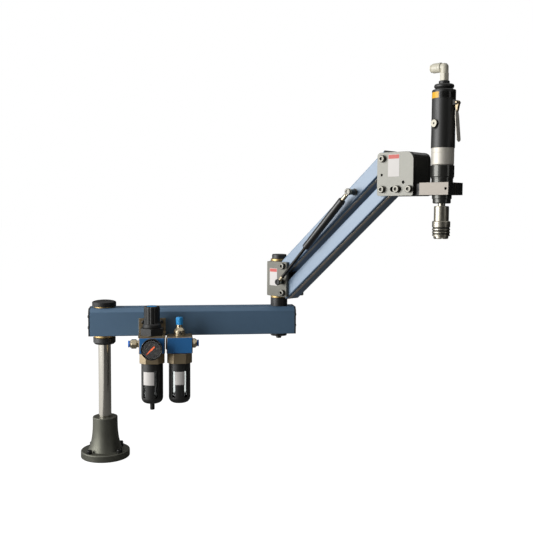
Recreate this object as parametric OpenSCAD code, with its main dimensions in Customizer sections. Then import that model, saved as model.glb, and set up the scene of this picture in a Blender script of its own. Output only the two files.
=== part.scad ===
// Arm tapping machine: a post, a level arm and a balanced lifting arm that holds an air tapping motor.
// Millimetres. Z is up. The origin is the centre of the base flange, on its underside.
// The level arm lies along +X. The lifting arm is drawn in its own u, v, z axes at the elbow:
// u runs out along the arm, and -v is the side that faces the viewer.

/* [Base and post] */
// Outer diameter of the base flange
flange_d = 124; // [110:1:150]
// Thickness of the base flange
flange_t = 18; // [12:0.5:26]
// Height of the base casting
base_h = 104; // [80:1:140]
// Diameter of the casting at its top
hub_top_d = 63; // [56:0.5:70]
// Diameter of the casting where it meets the flange
hub_foot_d = 86; // [76:1:106]
// Bolt circle diameter of the four base holes
base_pcd = 104; // [102:0.5:108]
// Diameter of the base bolt holes
base_hole_d = 9; // [6:0.5:10]
// Diameter of the steel post
post_d = 32; // [28:0.5:36]
// Depth of solid casting under the post
post_seat = 6; // [4:0.5:12]
// Height of the underside of the stop collar
collar_z = 292.3; // [200:0.1:420]
// Diameter of the stop collar
collar_d = 56.4; // [50:0.2:62]
// Height of the stop collar
collar_h = 17; // [12:0.5:26]
// Diameter of the top cap
top_cap_d = 60.4; // [54:0.2:66]
// Height of the straight rim of the top cap
top_cap_rim = 10; // [7:0.5:16]
// Rise of the dome of the top cap
top_cap_dome = 6; // [3:0.5:9]

/* [Level arm] */
// Distance from the post axis to the elbow axis
arm_reach = 450; // [400:1:560]
// Length of tube behind the post axis
arm_back = 33; // [32:0.5:45]
// Length of tube past the elbow axis
arm_front = 36; // [32:0.5:50]
// Width and height of the square tube
tube_w = 70; // [66:0.5:78]
// Wall of the square tube
tube_wall = 5; // [3:0.5:7]
// Chamfer of the two top edges of the tube
tube_chamfer = 9; // [5:0.5:11]
// Thickness of the two end plates
end_plate_t = 4; // [2.5:0.5:6]
// Distance of the end plate screws from the middle of the tube, across
end_screw_y = 22; // [16:0.5:24]
// Distance of those screws from the middle of the tube, up and down
end_screw_z = 14; // [10:0.5:22]
// Outer diameter of the post bushes in the tube walls
post_bush_d = 40; // [38.5:0.5:44]
// Flange diameter of the post bushes
post_flange_d = 52.4; // [47:0.2:55]
// Thickness of the lower bush flange
post_flange_low = 6.4; // [2:0.2:7]
// Thickness of the upper bush flange
post_flange_top = 2.5; // [1.5:0.1:5]
// Length of each post bush inside the tube
post_bush_in = 22; // [10:0.5:30]

/* [Elbow] */
// Diameter of the elbow spindle
spindle_d = 26; // [22:0.5:28]
// Diameter of the spacer sleeve and of the bush flanges
sleeve_d = 44; // [38:0.5:48]
// Height of the spacer sleeve
sleeve_h = 21.7; // [14:0.1:32]
// Thickness of the lower elbow bush flange
elbow_flange_low = 6.5; // [4:0.1:9]
// Thickness of the upper elbow bush flange
elbow_flange_top = 5.5; // [3:0.1:9]
// Outer diameter of the elbow bushes
elbow_bush_d = 34; // [31:0.5:37]
// Diameter of the round elbow cap
elbow_cap_d = 38; // [34:0.5:43]
// Height of the elbow cap
elbow_cap_h = 11.7; // [8:0.1:16]
// Diameter of the washer under the tube
foot_washer_d = 42.5; // [36:0.5:50]
// Thickness of that washer
foot_washer_t = 8.3; // [4:0.1:12]
// Length of the foot bolt's thread in the spindle
foot_thread = 22; // [14:0.5:30]
// Radius of the round back of the elbow block
block_r = 24.5; // [23:0.1:25]
// Distance from the elbow axis to the front of the elbow block
block_front = 22; // [18:0.5:22.5]
// How far the elbow plates reach back of the elbow axis
elbow_plate_back = 12; // [6:0.5:16]
// Thickness of the elbow side plates
elbow_plate_t = 8; // [6:0.5:10]
// Margin of the elbow plates around the link pivots
elbow_margin = 10.5; // [9:0.5:14]
// Distance from the link pivots to the front edge of the elbow plates
elbow_nose = 12; // [9:0.5:16]

/* [Lifting arm] */
// Turn of the lifting arm from the level arm at rest
rest_yaw = -52; // [-60:1:-40]
// Upward angle of the links at rest
rest_lift = 40; // [34:0.5:46]
// Pivot to pivot length of the two links
link_len = 400; // [360:1:470]
// Height between the upper and the lower pivots
pivot_gap = 68; // [65:0.5:78]
// Distance from the elbow axis to the link pivots
pivot_u = 45; // [44.5:0.5:52]
// Diameter of the pivot bolts
pivot_d = 10; // [8:0.5:10.5]
// Width of the link beams
beam_w = 49; // [46:0.5:49.2]
// Depth of the link beams
beam_h = 32; // [28:0.5:33]
// Wall of the link beams
beam_wall = 3; // [2:0.5:4]
// How far the beam centre line lies above the pivots
beam_rise = 2; // [0:0.5:3]
// Thickness of the beam end caps
beam_cap_t = 3; // [2:0.5:3.5]
// Diameter of the cross tube round each pivot
cross_d = 14; // [13:0.5:14]
// Inside width between the side plates
plate_gap = 50; // [50:0.5:54]

/* [Gas spring] */
// Distance of the spring's axis from the middle of the arm
spring_v = 46.4; // [38.4:0.2:50]
// Distance along the upper link from its elbow pivot to the spring's upper stud
spring_top = 287.5; // [270:0.5:300]
// Distance of the lower stud from the elbow axis
spring_low_u = 42.5; // [38:0.5:46]
// Height of the lower stud above the lower link pivot
spring_low_z = 28.3; // [27:0.5:36]
// Diameter of the spring cylinder
spring_cyl_d = 18; // [15:0.5:20]
// Length of the spring cylinder
spring_cyl_len = 163; // [150:1:185]
// Diameter of the spring rod
spring_rod_d = 8; // [6:0.5:10]
// Distance from the upper stud to the end of the cylinder
spring_end = 26; // [18:0.5:30]
// Free depth in the cylinder beyond the rod's end at rest
spring_travel = 46; // [42:1:60]
// Diameter of the eyes at both ends
spring_eye_d = 15; // [13:0.5:17]
// Width of the eyes
spring_eye_w = 6; // [5:0.5:9]
// Height of the two stud heads
stud_head_h = 3.5; // [3:0.5:8]
// Diameter of the two stud shanks
stud_d = 8; // [6:0.5:10]
// Diameter of the spacers behind the eyes
stud_spacer_d = 13; // [11:0.5:15]

/* [Head] */
// Length of the head plates along the arm
head_len = 96; // [90:1:110]
// Distance from the rear edge of the head plates to the link pivots
head_back = 15; // [12:0.5:18]
// Margin below the lower pivot
head_low = 14.6; // [12:0.2:18]
// Margin above the upper pivot
head_top = 13.9; // [12:0.1:18]
// Thickness of the head plates
head_plate_t = 9.5; // [7:0.5:12]
// Large corner radius of the head
head_round = 20; // [10:0.5:26]
// Corner radius of the head at its top rear
head_rear = 9; // [3:0.5:12]
// Small corner radius of the head
head_corner = 5; // [2:0.5:7]
// Distance from the link pivots to the bolt in the slot
slot_bolt_u = 40; // [37:0.5:42]
// Distance from the link pivots to the end bolt
end_bolt_u = 72; // [66:0.5:72]
// Width of the slot in the near plate
slot_w = 10.6; // [10.6:0.1:12]
// Height of the tool bracket
bracket_h = 26.5; // [24:0.5:30]
// Width of the tool bracket
bracket_w = 58.4; // [56:0.2:66]
// Gap between the head plates and the bracket block
bracket_gap = 12.8; // [8:0.2:18]
// Length of the bracket block along the arm
bracket_len = 71; // [70:0.5:78]
// Distance from the back of the bracket block to the tool axis
tool_in = 38; // [36:0.5:40]
// Width of the clamping slit
slit_w = 3; // [2:0.5:5]

/* [Tapping motor] */
// Diameter of the gearbox nose held in the bracket
nose_d = 45.8; // [42:0.2:48]
// Height of the nose above the bracket
neck_h = 9; // [5:0.5:14]
// Diameter of the black gearbox ring
ring_d = 50.4; // [47:0.2:53]
// Height of the black gearbox ring
ring_h = 27.9; // [20:0.1:36]
// Diameter of the bare gear housing
gear_d = 48.4; // [44:0.2:52]
// Height of the bare gear housing
gear_h = 37.1; // [26:0.1:44]
// Diameter of the motor body at its foot
motor_low_d = 50.8; // [49:0.2:56]
// Diameter of the motor body at its shoulder
motor_top_d = 50.2; // [48:0.2:51]
// Height of the motor body
motor_h = 121; // [110:0.5:140]
// Diameter of the cap above the motor
cap_d = 42; // [36:0.5:46]
// Height of the cap above the motor
cap_h = 13.6; // [9:0.1:18]
// Diameter of the threaded port boss
port_d = 23; // [21:0.5:27]
// Height of the threaded port boss
port_h = 7.4; // [5:0.1:10]
// Diameter of the clamp ring under the bracket
under_ring_d = 41.8; // [38:0.2:45]
// Height of the clamp ring under the bracket
under_ring_h = 8.3; // [5:0.1:11]
// Diameter of the nose nut
nose_nut_d = 38.4; // [34:0.2:41]
// Height of the nose nut
nose_nut_h = 9.7; // [6:0.1:13]
// Diameter of the throttle lever's pivot pin
lever_pin_d = 4; // [3:0.5:5]
// Width of the throttle lever's blade
lever_w = 16; // [12:0.5:20]
// Length of the throttle lever below its pin
lever_len = 79; // [70:1:86]
// Diameter of the push button
button_d = 17.4; // [14:0.2:19]

/* [Chuck] */
// Diameter of the drive spindle
drive_d = 15.6; // [13:0.2:18]
// Visible length of the drive spindle
drive_h = 5.5; // [3:0.1:9]
// Diameter of the chuck body
chuck_d = 31.8; // [30:0.2:34]
// Length of the chuck body above the sleeve
chuck_h = 32.2; // [26:0.1:40]
// Diameter of the release sleeve
chuck_sleeve_d = 38.6; // [36:0.2:42]
// Length of the release sleeve
chuck_sleeve_h = 32.4; // [28:0.1:40]
// Diameter of the tap holder's socket
socket_d = 19; // [16:0.5:20]
// Depth of the tap holder's socket
socket_depth = 34; // [25:0.5:40]
// Length of the drive teeth below the sleeve
teeth_h = 6; // [3:0.5:8]

/* [Air unit] */
// Distance from the post axis to the filter regulator's axis
reg_x = 122; // [118:0.5:150]
// Width of each air unit body
air_w = 64; // [62:0.5:68]
// Depth of each air unit body
air_depth = 60; // [57:0.5:64]
// Height of each air unit body
air_h = 40; // [36:0.5:46]
// Gap between the two bodies
air_gap = 3.6; // [2:0.2:8]
// Distance between the two screws of the unit's bracket
bracket_pitch = 44.8; // [40:0.2:50]
// Height of those two screws above the bracket's ledge
bracket_screw_z = 29.5; // [24:0.5:33]
// Gap between the tube and the back of the bodies
air_back = 10; // [6:0.5:14]
// Height of the bodies' tops above the tube's underside
air_top = 6.3; // [4:0.1:12]
// Height of the eight sided collars
skirt_h = 26; // [20:0.5:32]
// Width of the eight sided collars
skirt_w = 61.5; // [58:0.5:62]
// Diameter of the bowl guards
guard_d = 54; // [52:0.2:56]
// Height of the straight part of the bowl guards
guard_h = 87; // [76:0.5:110]
// Height of the rounded foot of the bowl guards
guard_foot = 14; // [8:0.5:18]
// Wall of the bowl guards
guard_wall = 2; // [1.5:0.1:3]
// Wall of the clear bowls
bowl_wall = 2.5; // [2:0.1:4]
// Diameter of the regulator knob
knob_d = 39.4; // [36:0.2:42]
// Height of the regulator knob
knob_h = 53.5; // [44:0.5:60]
// Width across the flats of the bonnet's nut
bonnet_d = 53; // [48:0.5:56]
// Height of the bonnet's nut
bonnet_h = 17.7; // [12:0.1:20]
// Diameter of the pressure gauge
gauge_d = 52; // [48:0.5:54]
// Depth of the pressure gauge's case
gauge_t = 20; // [16:0.5:26]
// Diameter of the air hose that the fittings take
hose_d = 12; // [10:0.5:12]
// Width across the flats of the fittings' hexagons
hex_af = 22; // [21:0.5:24]
// Depth that the inlet fitting is sunk into its body
inlet_sink = 2; // [0:0.2:6]
// Depth that the outlet fitting is sunk into its body
outlet_sink = 10.2; // [6:0.2:12]

/* [Fits] */
// Gap between faces of pieces that move on each other
run_gap = 0.3; // [0.3:0.05:0.6]
// Radial clearance of every running shaft
run_fit = 0.05; // [0.02:0.01:0.1]
// Head diameter of the large cap screws
head_d = 16; // [14:0.5:16]
// Head height of the large cap screws
head_h = 8; // [6:0.5:10]
// Diameter of the small screws
screw_d = 6; // [4:0.5:7]
// Head diameter of the small screws
screw_head_d = 10; // [8:0.5:12]
// Head height of the small screws
screw_head_h = 2.6; // [2:0.1:4]

/* [Hidden] */
$fn = 64;

// Heights up the post
tube_z = collar_z + collar_h + run_gap + post_flange_low;
tube_top = tube_z + tube_w;
cap_z = tube_top + post_flange_top + run_gap;
post_top = cap_z + top_cap_rim - 3;

// Heights at the elbow
elbow_floor = tube_top + sleeve_h + run_gap + elbow_flange_low;
low_z = elbow_floor + elbow_margin;
up_z = low_z + pivot_gap;
elbow_ceiling = up_z + elbow_margin;
elbow_cap_z = elbow_ceiling + elbow_flange_top + run_gap;

// Head pivots
head_pu = pivot_u + link_len * cos(rest_lift);
head_low_z = low_z + link_len * sin(rest_lift);
head_up_z = up_z + link_len * sin(rest_lift);
head_u0 = head_pu - head_back;
head_u1 = head_u0 + head_len;
head_z0 = head_low_z - head_low;
head_z1 = head_up_z + head_top;
tongue_z = head_z0 + 1;
bracket_u = head_u1 + bracket_gap;
tool_u = bracket_u + tool_in;
bracket_top = tongue_z + bracket_h;
clamp_u = bracket_u + bracket_len - 6.2;

// Swept radius of a beam end round its pivot
beam_back = cross_d / 2 + beam_cap_t;
beam_sweep = sqrt(beam_back * beam_back + pow(beam_h / 2 + beam_rise, 2));
core_u = head_pu + max(beam_sweep + 1, 22.6);

// Tool heights
ring_z = bracket_top + neck_h;
gear_z = ring_z + ring_h;
motor_z = gear_z + gear_h;
motor_cap_z = motor_z + motor_h;
port_z = motor_cap_z + cap_h;
inlet_z = port_z + port_h + run_gap;
nut_z = tongue_z - under_ring_h - nose_nut_h;
chuck_top = nut_z - drive_h;
sleeve_top = chuck_top - chuck_h;
sleeve_low = sleeve_top - chuck_sleeve_h;
chuck_low = sleeve_low - teeth_h;
drive_in = 12;

// Air unit
lub_x = reg_x + air_w + air_gap;
front_y = -tube_w / 2;
air_y1 = front_y - air_back;
air_y0 = air_y1 - air_depth;
air_y = (air_y0 + air_y1) / 2;
air_z1 = tube_z + air_top;
air_z0 = air_z1 - air_h;
skirt_z = air_z0 - skirt_h;
guard_z = skirt_z - guard_h;
guard_low = guard_z - guard_foot;
leg_t = 3;
back_t = 4;
ledge_w = bracket_pitch + 22.2;
bowl_r = guard_d / 2 - guard_wall - 0.4;
bowl_seat = 12;
bonnet_z = air_z1 + leg_t;
knob_z = bonnet_z + bonnet_h + run_gap;
gauge_z = air_z1 - 25.4;
plate_t = 1.5;
gauge_back = air_y0 - plate_t - 2.5;
gauge_front = gauge_back - gauge_t;
dial_in = 5;
lens_t = 1.5;
needle_pin_d = 2;
hose_play = 0.2;
collet_seat_d = hose_d + 2.5;
ring_push = 1.5;
port_zc = air_z1 - 19.5;

// Gas spring at rest: lower stud, upper stud, angle and length
s_low = [spring_low_u, low_z + spring_low_z];
s_up = [pivot_u + spring_top * cos(rest_lift), up_z + spring_top * sin(rest_lift)];
s_dx = s_up[0] - s_low[0];
s_dz = s_up[1] - s_low[1];
s_len = sqrt(s_dx * s_dx + s_dz * s_dz);
s_ang = atan2(s_dz, s_dx);
eye_near = -spring_v - spring_eye_w / 2;
eye_far = -spring_v + spring_eye_w / 2;
eye_clear = head_d / 2 + 1;

// Lever and button on the motor, in the tool's own axes
lever_az = 5;
lever_r = 32;
lever_z = motor_z + motor_h - 27;
button_az = -103;
button_z = motor_z + 51;
inlet_barrel = 28.9;
barrel_end = 27.6;

module at_elbow() translate([arm_reach, 0, 0]) rotate([0, 0, rest_yaw]) children();
module at_tool() at_elbow() translate([tool_u, 0, 0]) children();
module at_reg() translate([reg_x, air_y, 0]) children();
module at_lub() translate([lub_x, air_y, 0]) children();

// The seats of the two air fittings, z pointing out of the body
module at_inlet() translate([reg_x - air_w / 2 + inlet_sink, air_y, port_zc]) rotate([0, -90, 0])
    children();
module at_outlet() translate([lub_x + air_w / 2 - outlet_sink, air_y, port_zc]) rotate([0, 90, 0])
    children();

// A plate drawn in the u, z plane from v = v0 towards -v
module upright(v0, t) translate([0, v0, 0]) rotate([90, 0, 0]) linear_extrude(height = t) children();

// A rectangle with four round corners, from its lower left corner
module round_rect(w, h, bl, br, tr, tl) {
    polygon([[bl, 0], [w - br, 0], [w, br], [w, h - tr], [w - tr, h], [tl, h], [0, h - tl], [0, bl]]);
    translate([bl, bl]) circle(r = bl);
    translate([w - br, br]) circle(r = br);
    translate([w - tr, h - tr]) circle(r = tr);
    translate([tl, h - tl]) circle(r = tl);
}

// A round rod along v, from v0 to v1, at u, z
module cross(u, z, v0, v1, d) translate([u, v1, z]) rotate([90, 0, 0]) cylinder(d = d, h = v1 - v0);

// A socket cap screw along v: its head's underside at v0, the head towards -v
module cap_screw(u, z, v0, shank_d, shank) {
    difference() {
        union() {
            cross(u, z, v0 - head_h, v0, head_d);
            cross(u, z, v0 - 0.01, v0 + shank, shank_d);
        }
        translate([u, v0 - head_h - 1, z]) rotate([-90, 0, 0])
            cylinder(d = head_d * 0.54, h = head_h * 0.5 + 1, $fn = 6);
    }
}

// An eight sided prism with a flat front, w wide
module eight(w, h, cut) linear_extrude(height = h) polygon([[-w / 2 + cut, -w / 2], [w / 2 - cut, -w / 2],
    [w / 2, -w / 2 + cut], [w / 2, w / 2 - cut], [w / 2 - cut, w / 2], [-w / 2 + cut, w / 2],
    [-w / 2, w / 2 - cut], [-w / 2, -w / 2 + cut]]);

// Radius of the casting's hub, falling from the foot at s = 0 to the top at s = 1
function hub_r(s) = hub_top_d / 2 + (hub_foot_d - hub_top_d) / 2 * pow(1 - s, 3);

module base_casting() color([0.33, 0.34, 0.31]) difference() {
    rotate_extrude() polygon(concat([[0, 0], [flange_d / 2 - 1.5, 0], [flange_d / 2, 1.5],
        [flange_d / 2, flange_t - 2], [flange_d / 2 - 2, flange_t]],
        [for (i = [0 : 10]) [hub_r(i / 10), flange_t + (base_h - flange_t - 1.5) * i / 10]],
        [[hub_top_d / 2 - 1.5, base_h], [0, base_h]]));
    translate([0, 0, post_seat]) cylinder(d = post_d, h = base_h);
    for (a = [45 : 90 : 315]) rotate([0, 0, a]) translate([base_pcd / 2, 0, -1]) {
        cylinder(d = base_hole_d, h = flange_t + 2);
        translate([0, 0, flange_t]) cylinder(d = base_hole_d + 6, h = 26);
    }
}

module post() color([0.62, 0.62, 0.6]) translate([0, 0, post_seat])
    cylinder(d = post_d, h = post_top - post_seat);

module stop_collar() color([0.1, 0.1, 0.1]) difference() {
    rotate_extrude() polygon([[post_d / 2, collar_z], [collar_d / 2 - 3.5, collar_z],
        [collar_d / 2, collar_z + 4], [collar_d / 2, collar_z + collar_h - 1],
        [collar_d / 2 - 1, collar_z + collar_h], [post_d / 2, collar_z + collar_h]]);
    translate([0, 0, collar_z + collar_h / 2]) rotate([90, 0, 150]) cylinder(d = 6, h = collar_d);
}

module top_cap() color([0.12, 0.12, 0.11]) difference() {
    rotate_extrude() polygon(concat([[0, cap_z], [top_cap_d / 2 - 1, cap_z], [top_cap_d / 2, cap_z + 1]],
        [for (i = [0 : 8]) [top_cap_d / 2 * cos(i * 90 / 8),
            cap_z + top_cap_rim + top_cap_dome * sin(i * 90 / 8)]]));
    translate([0, 0, cap_z - 1]) cylinder(d = post_d, h = post_top - cap_z + 1);
}

module tube_outline(w, c) polygon([[-w / 2, -w / 2], [w / 2, -w / 2], [w / 2, w / 2 - c],
    [w / 2 - c, w / 2],
    [c - w / 2, w / 2], [-w / 2, w / 2 - c]]);

module arm_tube() color([0.3, 0.4, 0.5]) difference() {
    translate([-arm_back, 0, tube_z + tube_w / 2]) rotate([90, 0, 90])
        linear_extrude(height = arm_back + arm_reach + arm_front)
        difference() {
            tube_outline(tube_w, tube_chamfer);
            tube_outline(tube_w - 2 * tube_wall, max(tube_chamfer - 0.6 * tube_wall, 1));
        }
    translate([0, 0, tube_z - 1]) cylinder(d = post_bush_d, h = tube_w + 2);
    translate([arm_reach, 0, tube_z - 1]) cylinder(d = spindle_d, h = tube_w + 2);
}

module post_bushes() color([0.78, 0.6, 0.3]) {
    difference() {
        union() {
            translate([0, 0, tube_z - post_flange_low]) cylinder(d = post_flange_d, h = post_flange_low);
            translate([0, 0, tube_z]) cylinder(d = post_bush_d, h = post_bush_in);
        }
        translate([0, 0, tube_z - post_flange_low - 1]) cylinder(d = post_d + 2 * run_fit, h = 2 * tube_w);
    }
    difference() {
        union() {
            translate([0, 0, tube_top]) cylinder(d = post_flange_d, h = post_flange_top);
            translate([0, 0, tube_top - post_bush_in]) cylinder(d = post_bush_d, h = post_bush_in);
        }
        translate([0, 0, tube_z]) cylinder(d = post_d + 2 * run_fit, h = 2 * tube_w);
    }
}

module end_plates() color([0.1, 0.12, 0.14]) for (x = [-arm_back - end_plate_t, arm_reach + arm_front])
    difference() {
        translate([x, 0, tube_z + tube_w / 2]) rotate([90, 0, 90]) linear_extrude(height = end_plate_t)
            tube_outline(tube_w, tube_chamfer);
        for (y = [-end_screw_y, end_screw_y], z = [-end_screw_z, end_screw_z])
            translate([x - 1, y, tube_z + tube_w / 2 + z]) rotate([0, 90, 0])
                cylinder(d = screw_d, h = end_plate_t + 2);
    }

// A round headed screw: its head stands on the plane z = 0
module button_screw(shank) difference() {
    union() {
        cylinder(d = screw_head_d, h = screw_head_h);
        translate([0, 0, -shank]) cylinder(d = screw_d, h = shank + 0.01);
    }
    translate([0, 0, screw_head_h * 0.4]) cylinder(d = screw_d * 0.75, h = 5, $fn = 6);
}

module arm_screws() color([0.15, 0.15, 0.15]) {
    for (s = [-1, 1], y = [-end_screw_y, end_screw_y], z = [-end_screw_z, end_screw_z])
        translate([s < 0 ? -arm_back - end_plate_t : arm_reach + arm_front + end_plate_t,
            y, tube_z + tube_w / 2 + z])
            rotate([0, 90 * s, 0]) button_screw(end_plate_t);
    for (s = [-1, 1]) translate([reg_x + s * bracket_pitch / 2, front_y - back_t, air_z1 + bracket_screw_z])
        rotate([90, 0, 0]) button_screw(back_t);
}

module elbow_spindle() color([0.6, 0.6, 0.6]) difference() {
    translate([arm_reach, 0, tube_z]) cylinder(d = spindle_d, h = elbow_cap_z - tube_z);
    translate([arm_reach, 0, tube_z - 1]) cylinder(d = 8, h = foot_thread + 3);
}

module elbow_sleeve() color([0.1, 0.1, 0.1]) difference() {
    translate([arm_reach, 0, tube_top]) cylinder(d = sleeve_d, h = sleeve_h);
    translate([arm_reach, 0, tube_top - 1]) cylinder(d = spindle_d, h = sleeve_h + 2);
}

module elbow_cap() color([0.1, 0.1, 0.1]) translate([arm_reach, 0, elbow_cap_z])
    rotate_extrude() polygon([[0, 0], [elbow_cap_d / 2 - 1, 0], [elbow_cap_d / 2, 1],
        [elbow_cap_d / 2, elbow_cap_h - 5],
        [elbow_cap_d / 2 - 2, elbow_cap_h - 2], [elbow_cap_d / 2 - 6, elbow_cap_h], [0, elbow_cap_h]]);

module foot_washer() color([0.12, 0.12, 0.12]) difference() {
    translate([arm_reach, 0, tube_z - foot_washer_t]) cylinder(d = foot_washer_d, h = foot_washer_t);
    translate([arm_reach, 0, tube_z - foot_washer_t - 1]) cylinder(d = 8, h = foot_washer_t + 2);
}

module foot_bolt() color([0.15, 0.15, 0.15]) translate([arm_reach, 0, tube_z - foot_washer_t]) {
    translate([0, 0, -7.2]) cylinder(d = 14, h = 7.2, $fn = 6);
    cylinder(d = 8, h = foot_washer_t + foot_thread);
}

// Angle bracket: a leg screwed to the tube and a ledge that the bonnet's nut holds
module air_bracket() color([0.62, 0.56, 0.46]) difference() {
    union() {
        translate([reg_x - ledge_w / 2, front_y - back_t, air_z1])
            cube([ledge_w, back_t, bracket_screw_z + 9.5]);
        translate([reg_x - ledge_w / 2, air_y0 + 2, air_z1]) cube([ledge_w, front_y - 4 - air_y0, leg_t]);
    }
    at_reg() translate([0, 0, air_z1 - 1]) cylinder(d = 30, h = leg_t + 2);
    for (s = [-1, 1]) translate([reg_x + s * bracket_pitch / 2, front_y + 1, air_z1 + bracket_screw_z])
        rotate([90, 0, 0]) cylinder(d = screw_d, h = back_t + 2);
}

module air_body(x, side) translate([x, air_y, 0]) difference() {
    union() {
        translate([-air_w / 2, -air_depth / 2, air_z0]) cube([air_w, air_depth, air_h]);
        translate([0, 0, skirt_z]) eight(skirt_w, skirt_h, skirt_w / 4);
        if (side > 0) translate([-air_w / 2 - air_gap, 0, port_zc]) rotate([0, 90, 0])
            cylinder(d = 30, h = air_gap + 1);
    }
    translate([0, 0, skirt_z - 1]) cylinder(r = bowl_r + 0.1, h = bowl_seat + 1.3);
}

module regulator_body() color([0.66, 0.6, 0.5]) difference() {
    air_body(reg_x, -1);
    at_reg() translate([0, 0, air_z1 - 16]) cylinder(d = 30, h = 20);
    translate([reg_x, air_y0 - 1, gauge_z]) rotate([-90, 0, 0]) cylinder(d = 10, h = 12);
    at_inlet() {
        translate([0, 0, -11]) cylinder(d = 13, h = 12 + inlet_sink);
        cylinder(d = collet_seat_d + 4, h = inlet_sink + 1);
    }
}

module lubricator_body() color([0.66, 0.6, 0.5]) difference() {
    air_body(lub_x, 1);
    at_outlet() {
        translate([0, 0, -11]) cylinder(d = 13, h = 12 + outlet_sink);
        cylinder(d = collet_seat_d + 4, h = outlet_sink + 1);
    }
    at_lub() translate([0, 0, air_z1 - 8]) cylinder(d = 16, h = 9);
}

module face_plates() color([0.13, 0.33, 0.58]) for (x = [reg_x, lub_x]) difference() {
    translate([x - air_w / 2 + 1.8, air_y0 - plate_t, air_z0 + 0.8])
        cube([air_w - 3.6, plate_t, air_h - 1.8]);
    translate([reg_x, air_y0 + 1, gauge_z]) rotate([90, 0, 0]) cylinder(d = 10, h = 5);
}

module bonnet() color([0.16, 0.16, 0.15]) at_reg() {
    translate([0, 0, air_z1 - 16]) cylinder(d = 30, h = bonnet_z - air_z1 + 16);
    translate([0, 0, bonnet_z]) rotate([0, 0, 26]) cylinder(d = bonnet_d / cos(30), h = bonnet_h, $fn = 6);
    translate([0, 0, knob_z - run_gap - 1]) cylinder(d = 20, h = 15);
}

// Point i of 0 to 6 on the guard's rounded foot, t inside its outer face
function guard_round(t, i) = [15 + (guard_d / 2 - 15) * cos(i * 15) - t,
    guard_z - (guard_foot - t) * sin(i * 15)];

module guard_shell() rotate_extrude() polygon(concat(
    [[guard_d / 2, skirt_z], [guard_d / 2 - guard_wall, skirt_z]],
    [for (i = [0 : 6]) guard_round(guard_wall, i)],
    [[4, guard_low + guard_wall], [4, guard_low]],
    [for (i = [6 : -1 : 0]) guard_round(0, i)]));

// Sight slots: a pair each side of the front rib and of the rear rib
module guard_slots(turn) rotate([0, 0, turn]) for (a = [-124, -56, 56, 124]) rotate([0, 0, a])
    translate([guard_d / 2 - 8, -4.2, guard_z + 1.5]) cube([12, 8.4, guard_h - 21]);

module filter_guard() color([0.09, 0.09, 0.09]) at_reg() difference() {
    guard_shell();
    guard_slots(-12);
}

module lubricator_guard() color([0.09, 0.09, 0.09]) at_lub() difference() {
    union() {
        guard_shell();
        translate([0, 0, guard_low]) cylinder(d = 30, h = guard_wall);
    }
    guard_slots(0);
}

// The clear bowls inside the guards; the filter's bowl has a hole for its drain
module bowl(x, hole) translate([x, air_y, 0]) rotate_extrude() polygon([[bowl_r, guard_z + 4],
    [bowl_r, skirt_z + bowl_seat], [bowl_r - bowl_wall, skirt_z + bowl_seat],
    [bowl_r - bowl_wall, guard_z + 5 + bowl_wall], [hole, guard_low + guard_wall + 3 + bowl_wall],
    [hole, guard_low + guard_wall + 0.4], [13.6, guard_low + guard_wall + 0.4]]);

module clear_bowls() color([0.85, 0.88, 0.88, 0.5]) {
    bowl(reg_x, 4);
    bowl(lub_x, 0);
}

// Round case, open at the front, with a seat for the lens and a pin for the needle
module gauge_case() color([0.08, 0.08, 0.08]) translate([reg_x, 0, gauge_z]) {
    difference() {
        translate([0, gauge_back, 0]) rotate([90, 0, 0]) union() {
            cylinder(d = gauge_d - 3, h = gauge_t);
            translate([0, 0, gauge_t - 8]) cylinder(d = gauge_d, h = 8);
        }
        translate([0, gauge_front + dial_in, 0]) rotate([90, 0, 0])
            cylinder(d = gauge_d - 8, h = dial_in + 1);
        translate([0, gauge_front + lens_t, 0]) rotate([90, 0, 0])
            cylinder(d = gauge_d - 5, h = lens_t + 1);
    }
    translate([0, air_y0 + 8, 0]) rotate([90, 0, 0]) cylinder(d = 10, h = air_y0 + 8 - gauge_back);
    translate([0, gauge_front + dial_in + 0.01, 0]) rotate([90, 0, 0]) cylinder(d = needle_pin_d, h = 2.2);
}

module gauge_lens() color([0.9, 0.93, 0.95, 0.4]) translate([reg_x, gauge_front + lens_t, gauge_z])
    rotate([90, 0, 0])
    cylinder(d = gauge_d - 5, h = lens_t);

// The needle turns on the short pin at the middle of the dial
module gauge_needle() color([0.95, 0.35, 0.1]) translate([reg_x, gauge_front + dial_in - 0.6, gauge_z])
    rotate([90, 0, 0]) difference() {
        union() {
            linear_extrude(height = 1) polygon([[-13.2, -12.8], [-12.4, -13.4], [1.4, -1], [8.6, 6.6],
                [6.4, 8.8], [-1.2, 1.2]]);
            cylinder(d = 5, h = 1.6);
        }
        translate([0, 0, -1]) cylinder(d = needle_pin_d + 2 * run_fit, h = 4);
    }

// Push-in fitting whose hexagon stands clear of the body
module fitting(sink) difference() {
    union() {
        translate([0, 0, -10]) cylinder(d = 13, h = 12);
        cylinder(d = 17, h = 6);
        translate([0, 0, max(sink, 5.5)]) cylinder(d = hex_af / cos(30), h = 18.5 - max(sink, 5.5),
            $fn = 6);
        cylinder(d = collet_seat_d + 4, h = 21);
    }
    translate([0, 0, -11]) cylinder(d = 8, h = 20);
    translate([0, 0, 1]) cylinder(d = hose_d + hose_play, h = 30);
    translate([0, 0, 11.5]) cylinder(d = collet_seat_d, h = 30);
}

// Release ring inside a fitting: pushed in by ring_push to free the hose
module collet() difference() {
    union() {
        translate([0, 0, 11.5 + ring_push + 0.6]) cylinder(d = collet_seat_d - 2 * run_fit, h = 12);
        translate([0, 0, 21 + ring_push + run_gap]) cylinder(d = 17, h = 3.4);
    }
    translate([0, 0, 10]) cylinder(d = hose_d + hose_play, h = 30);
}

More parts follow.
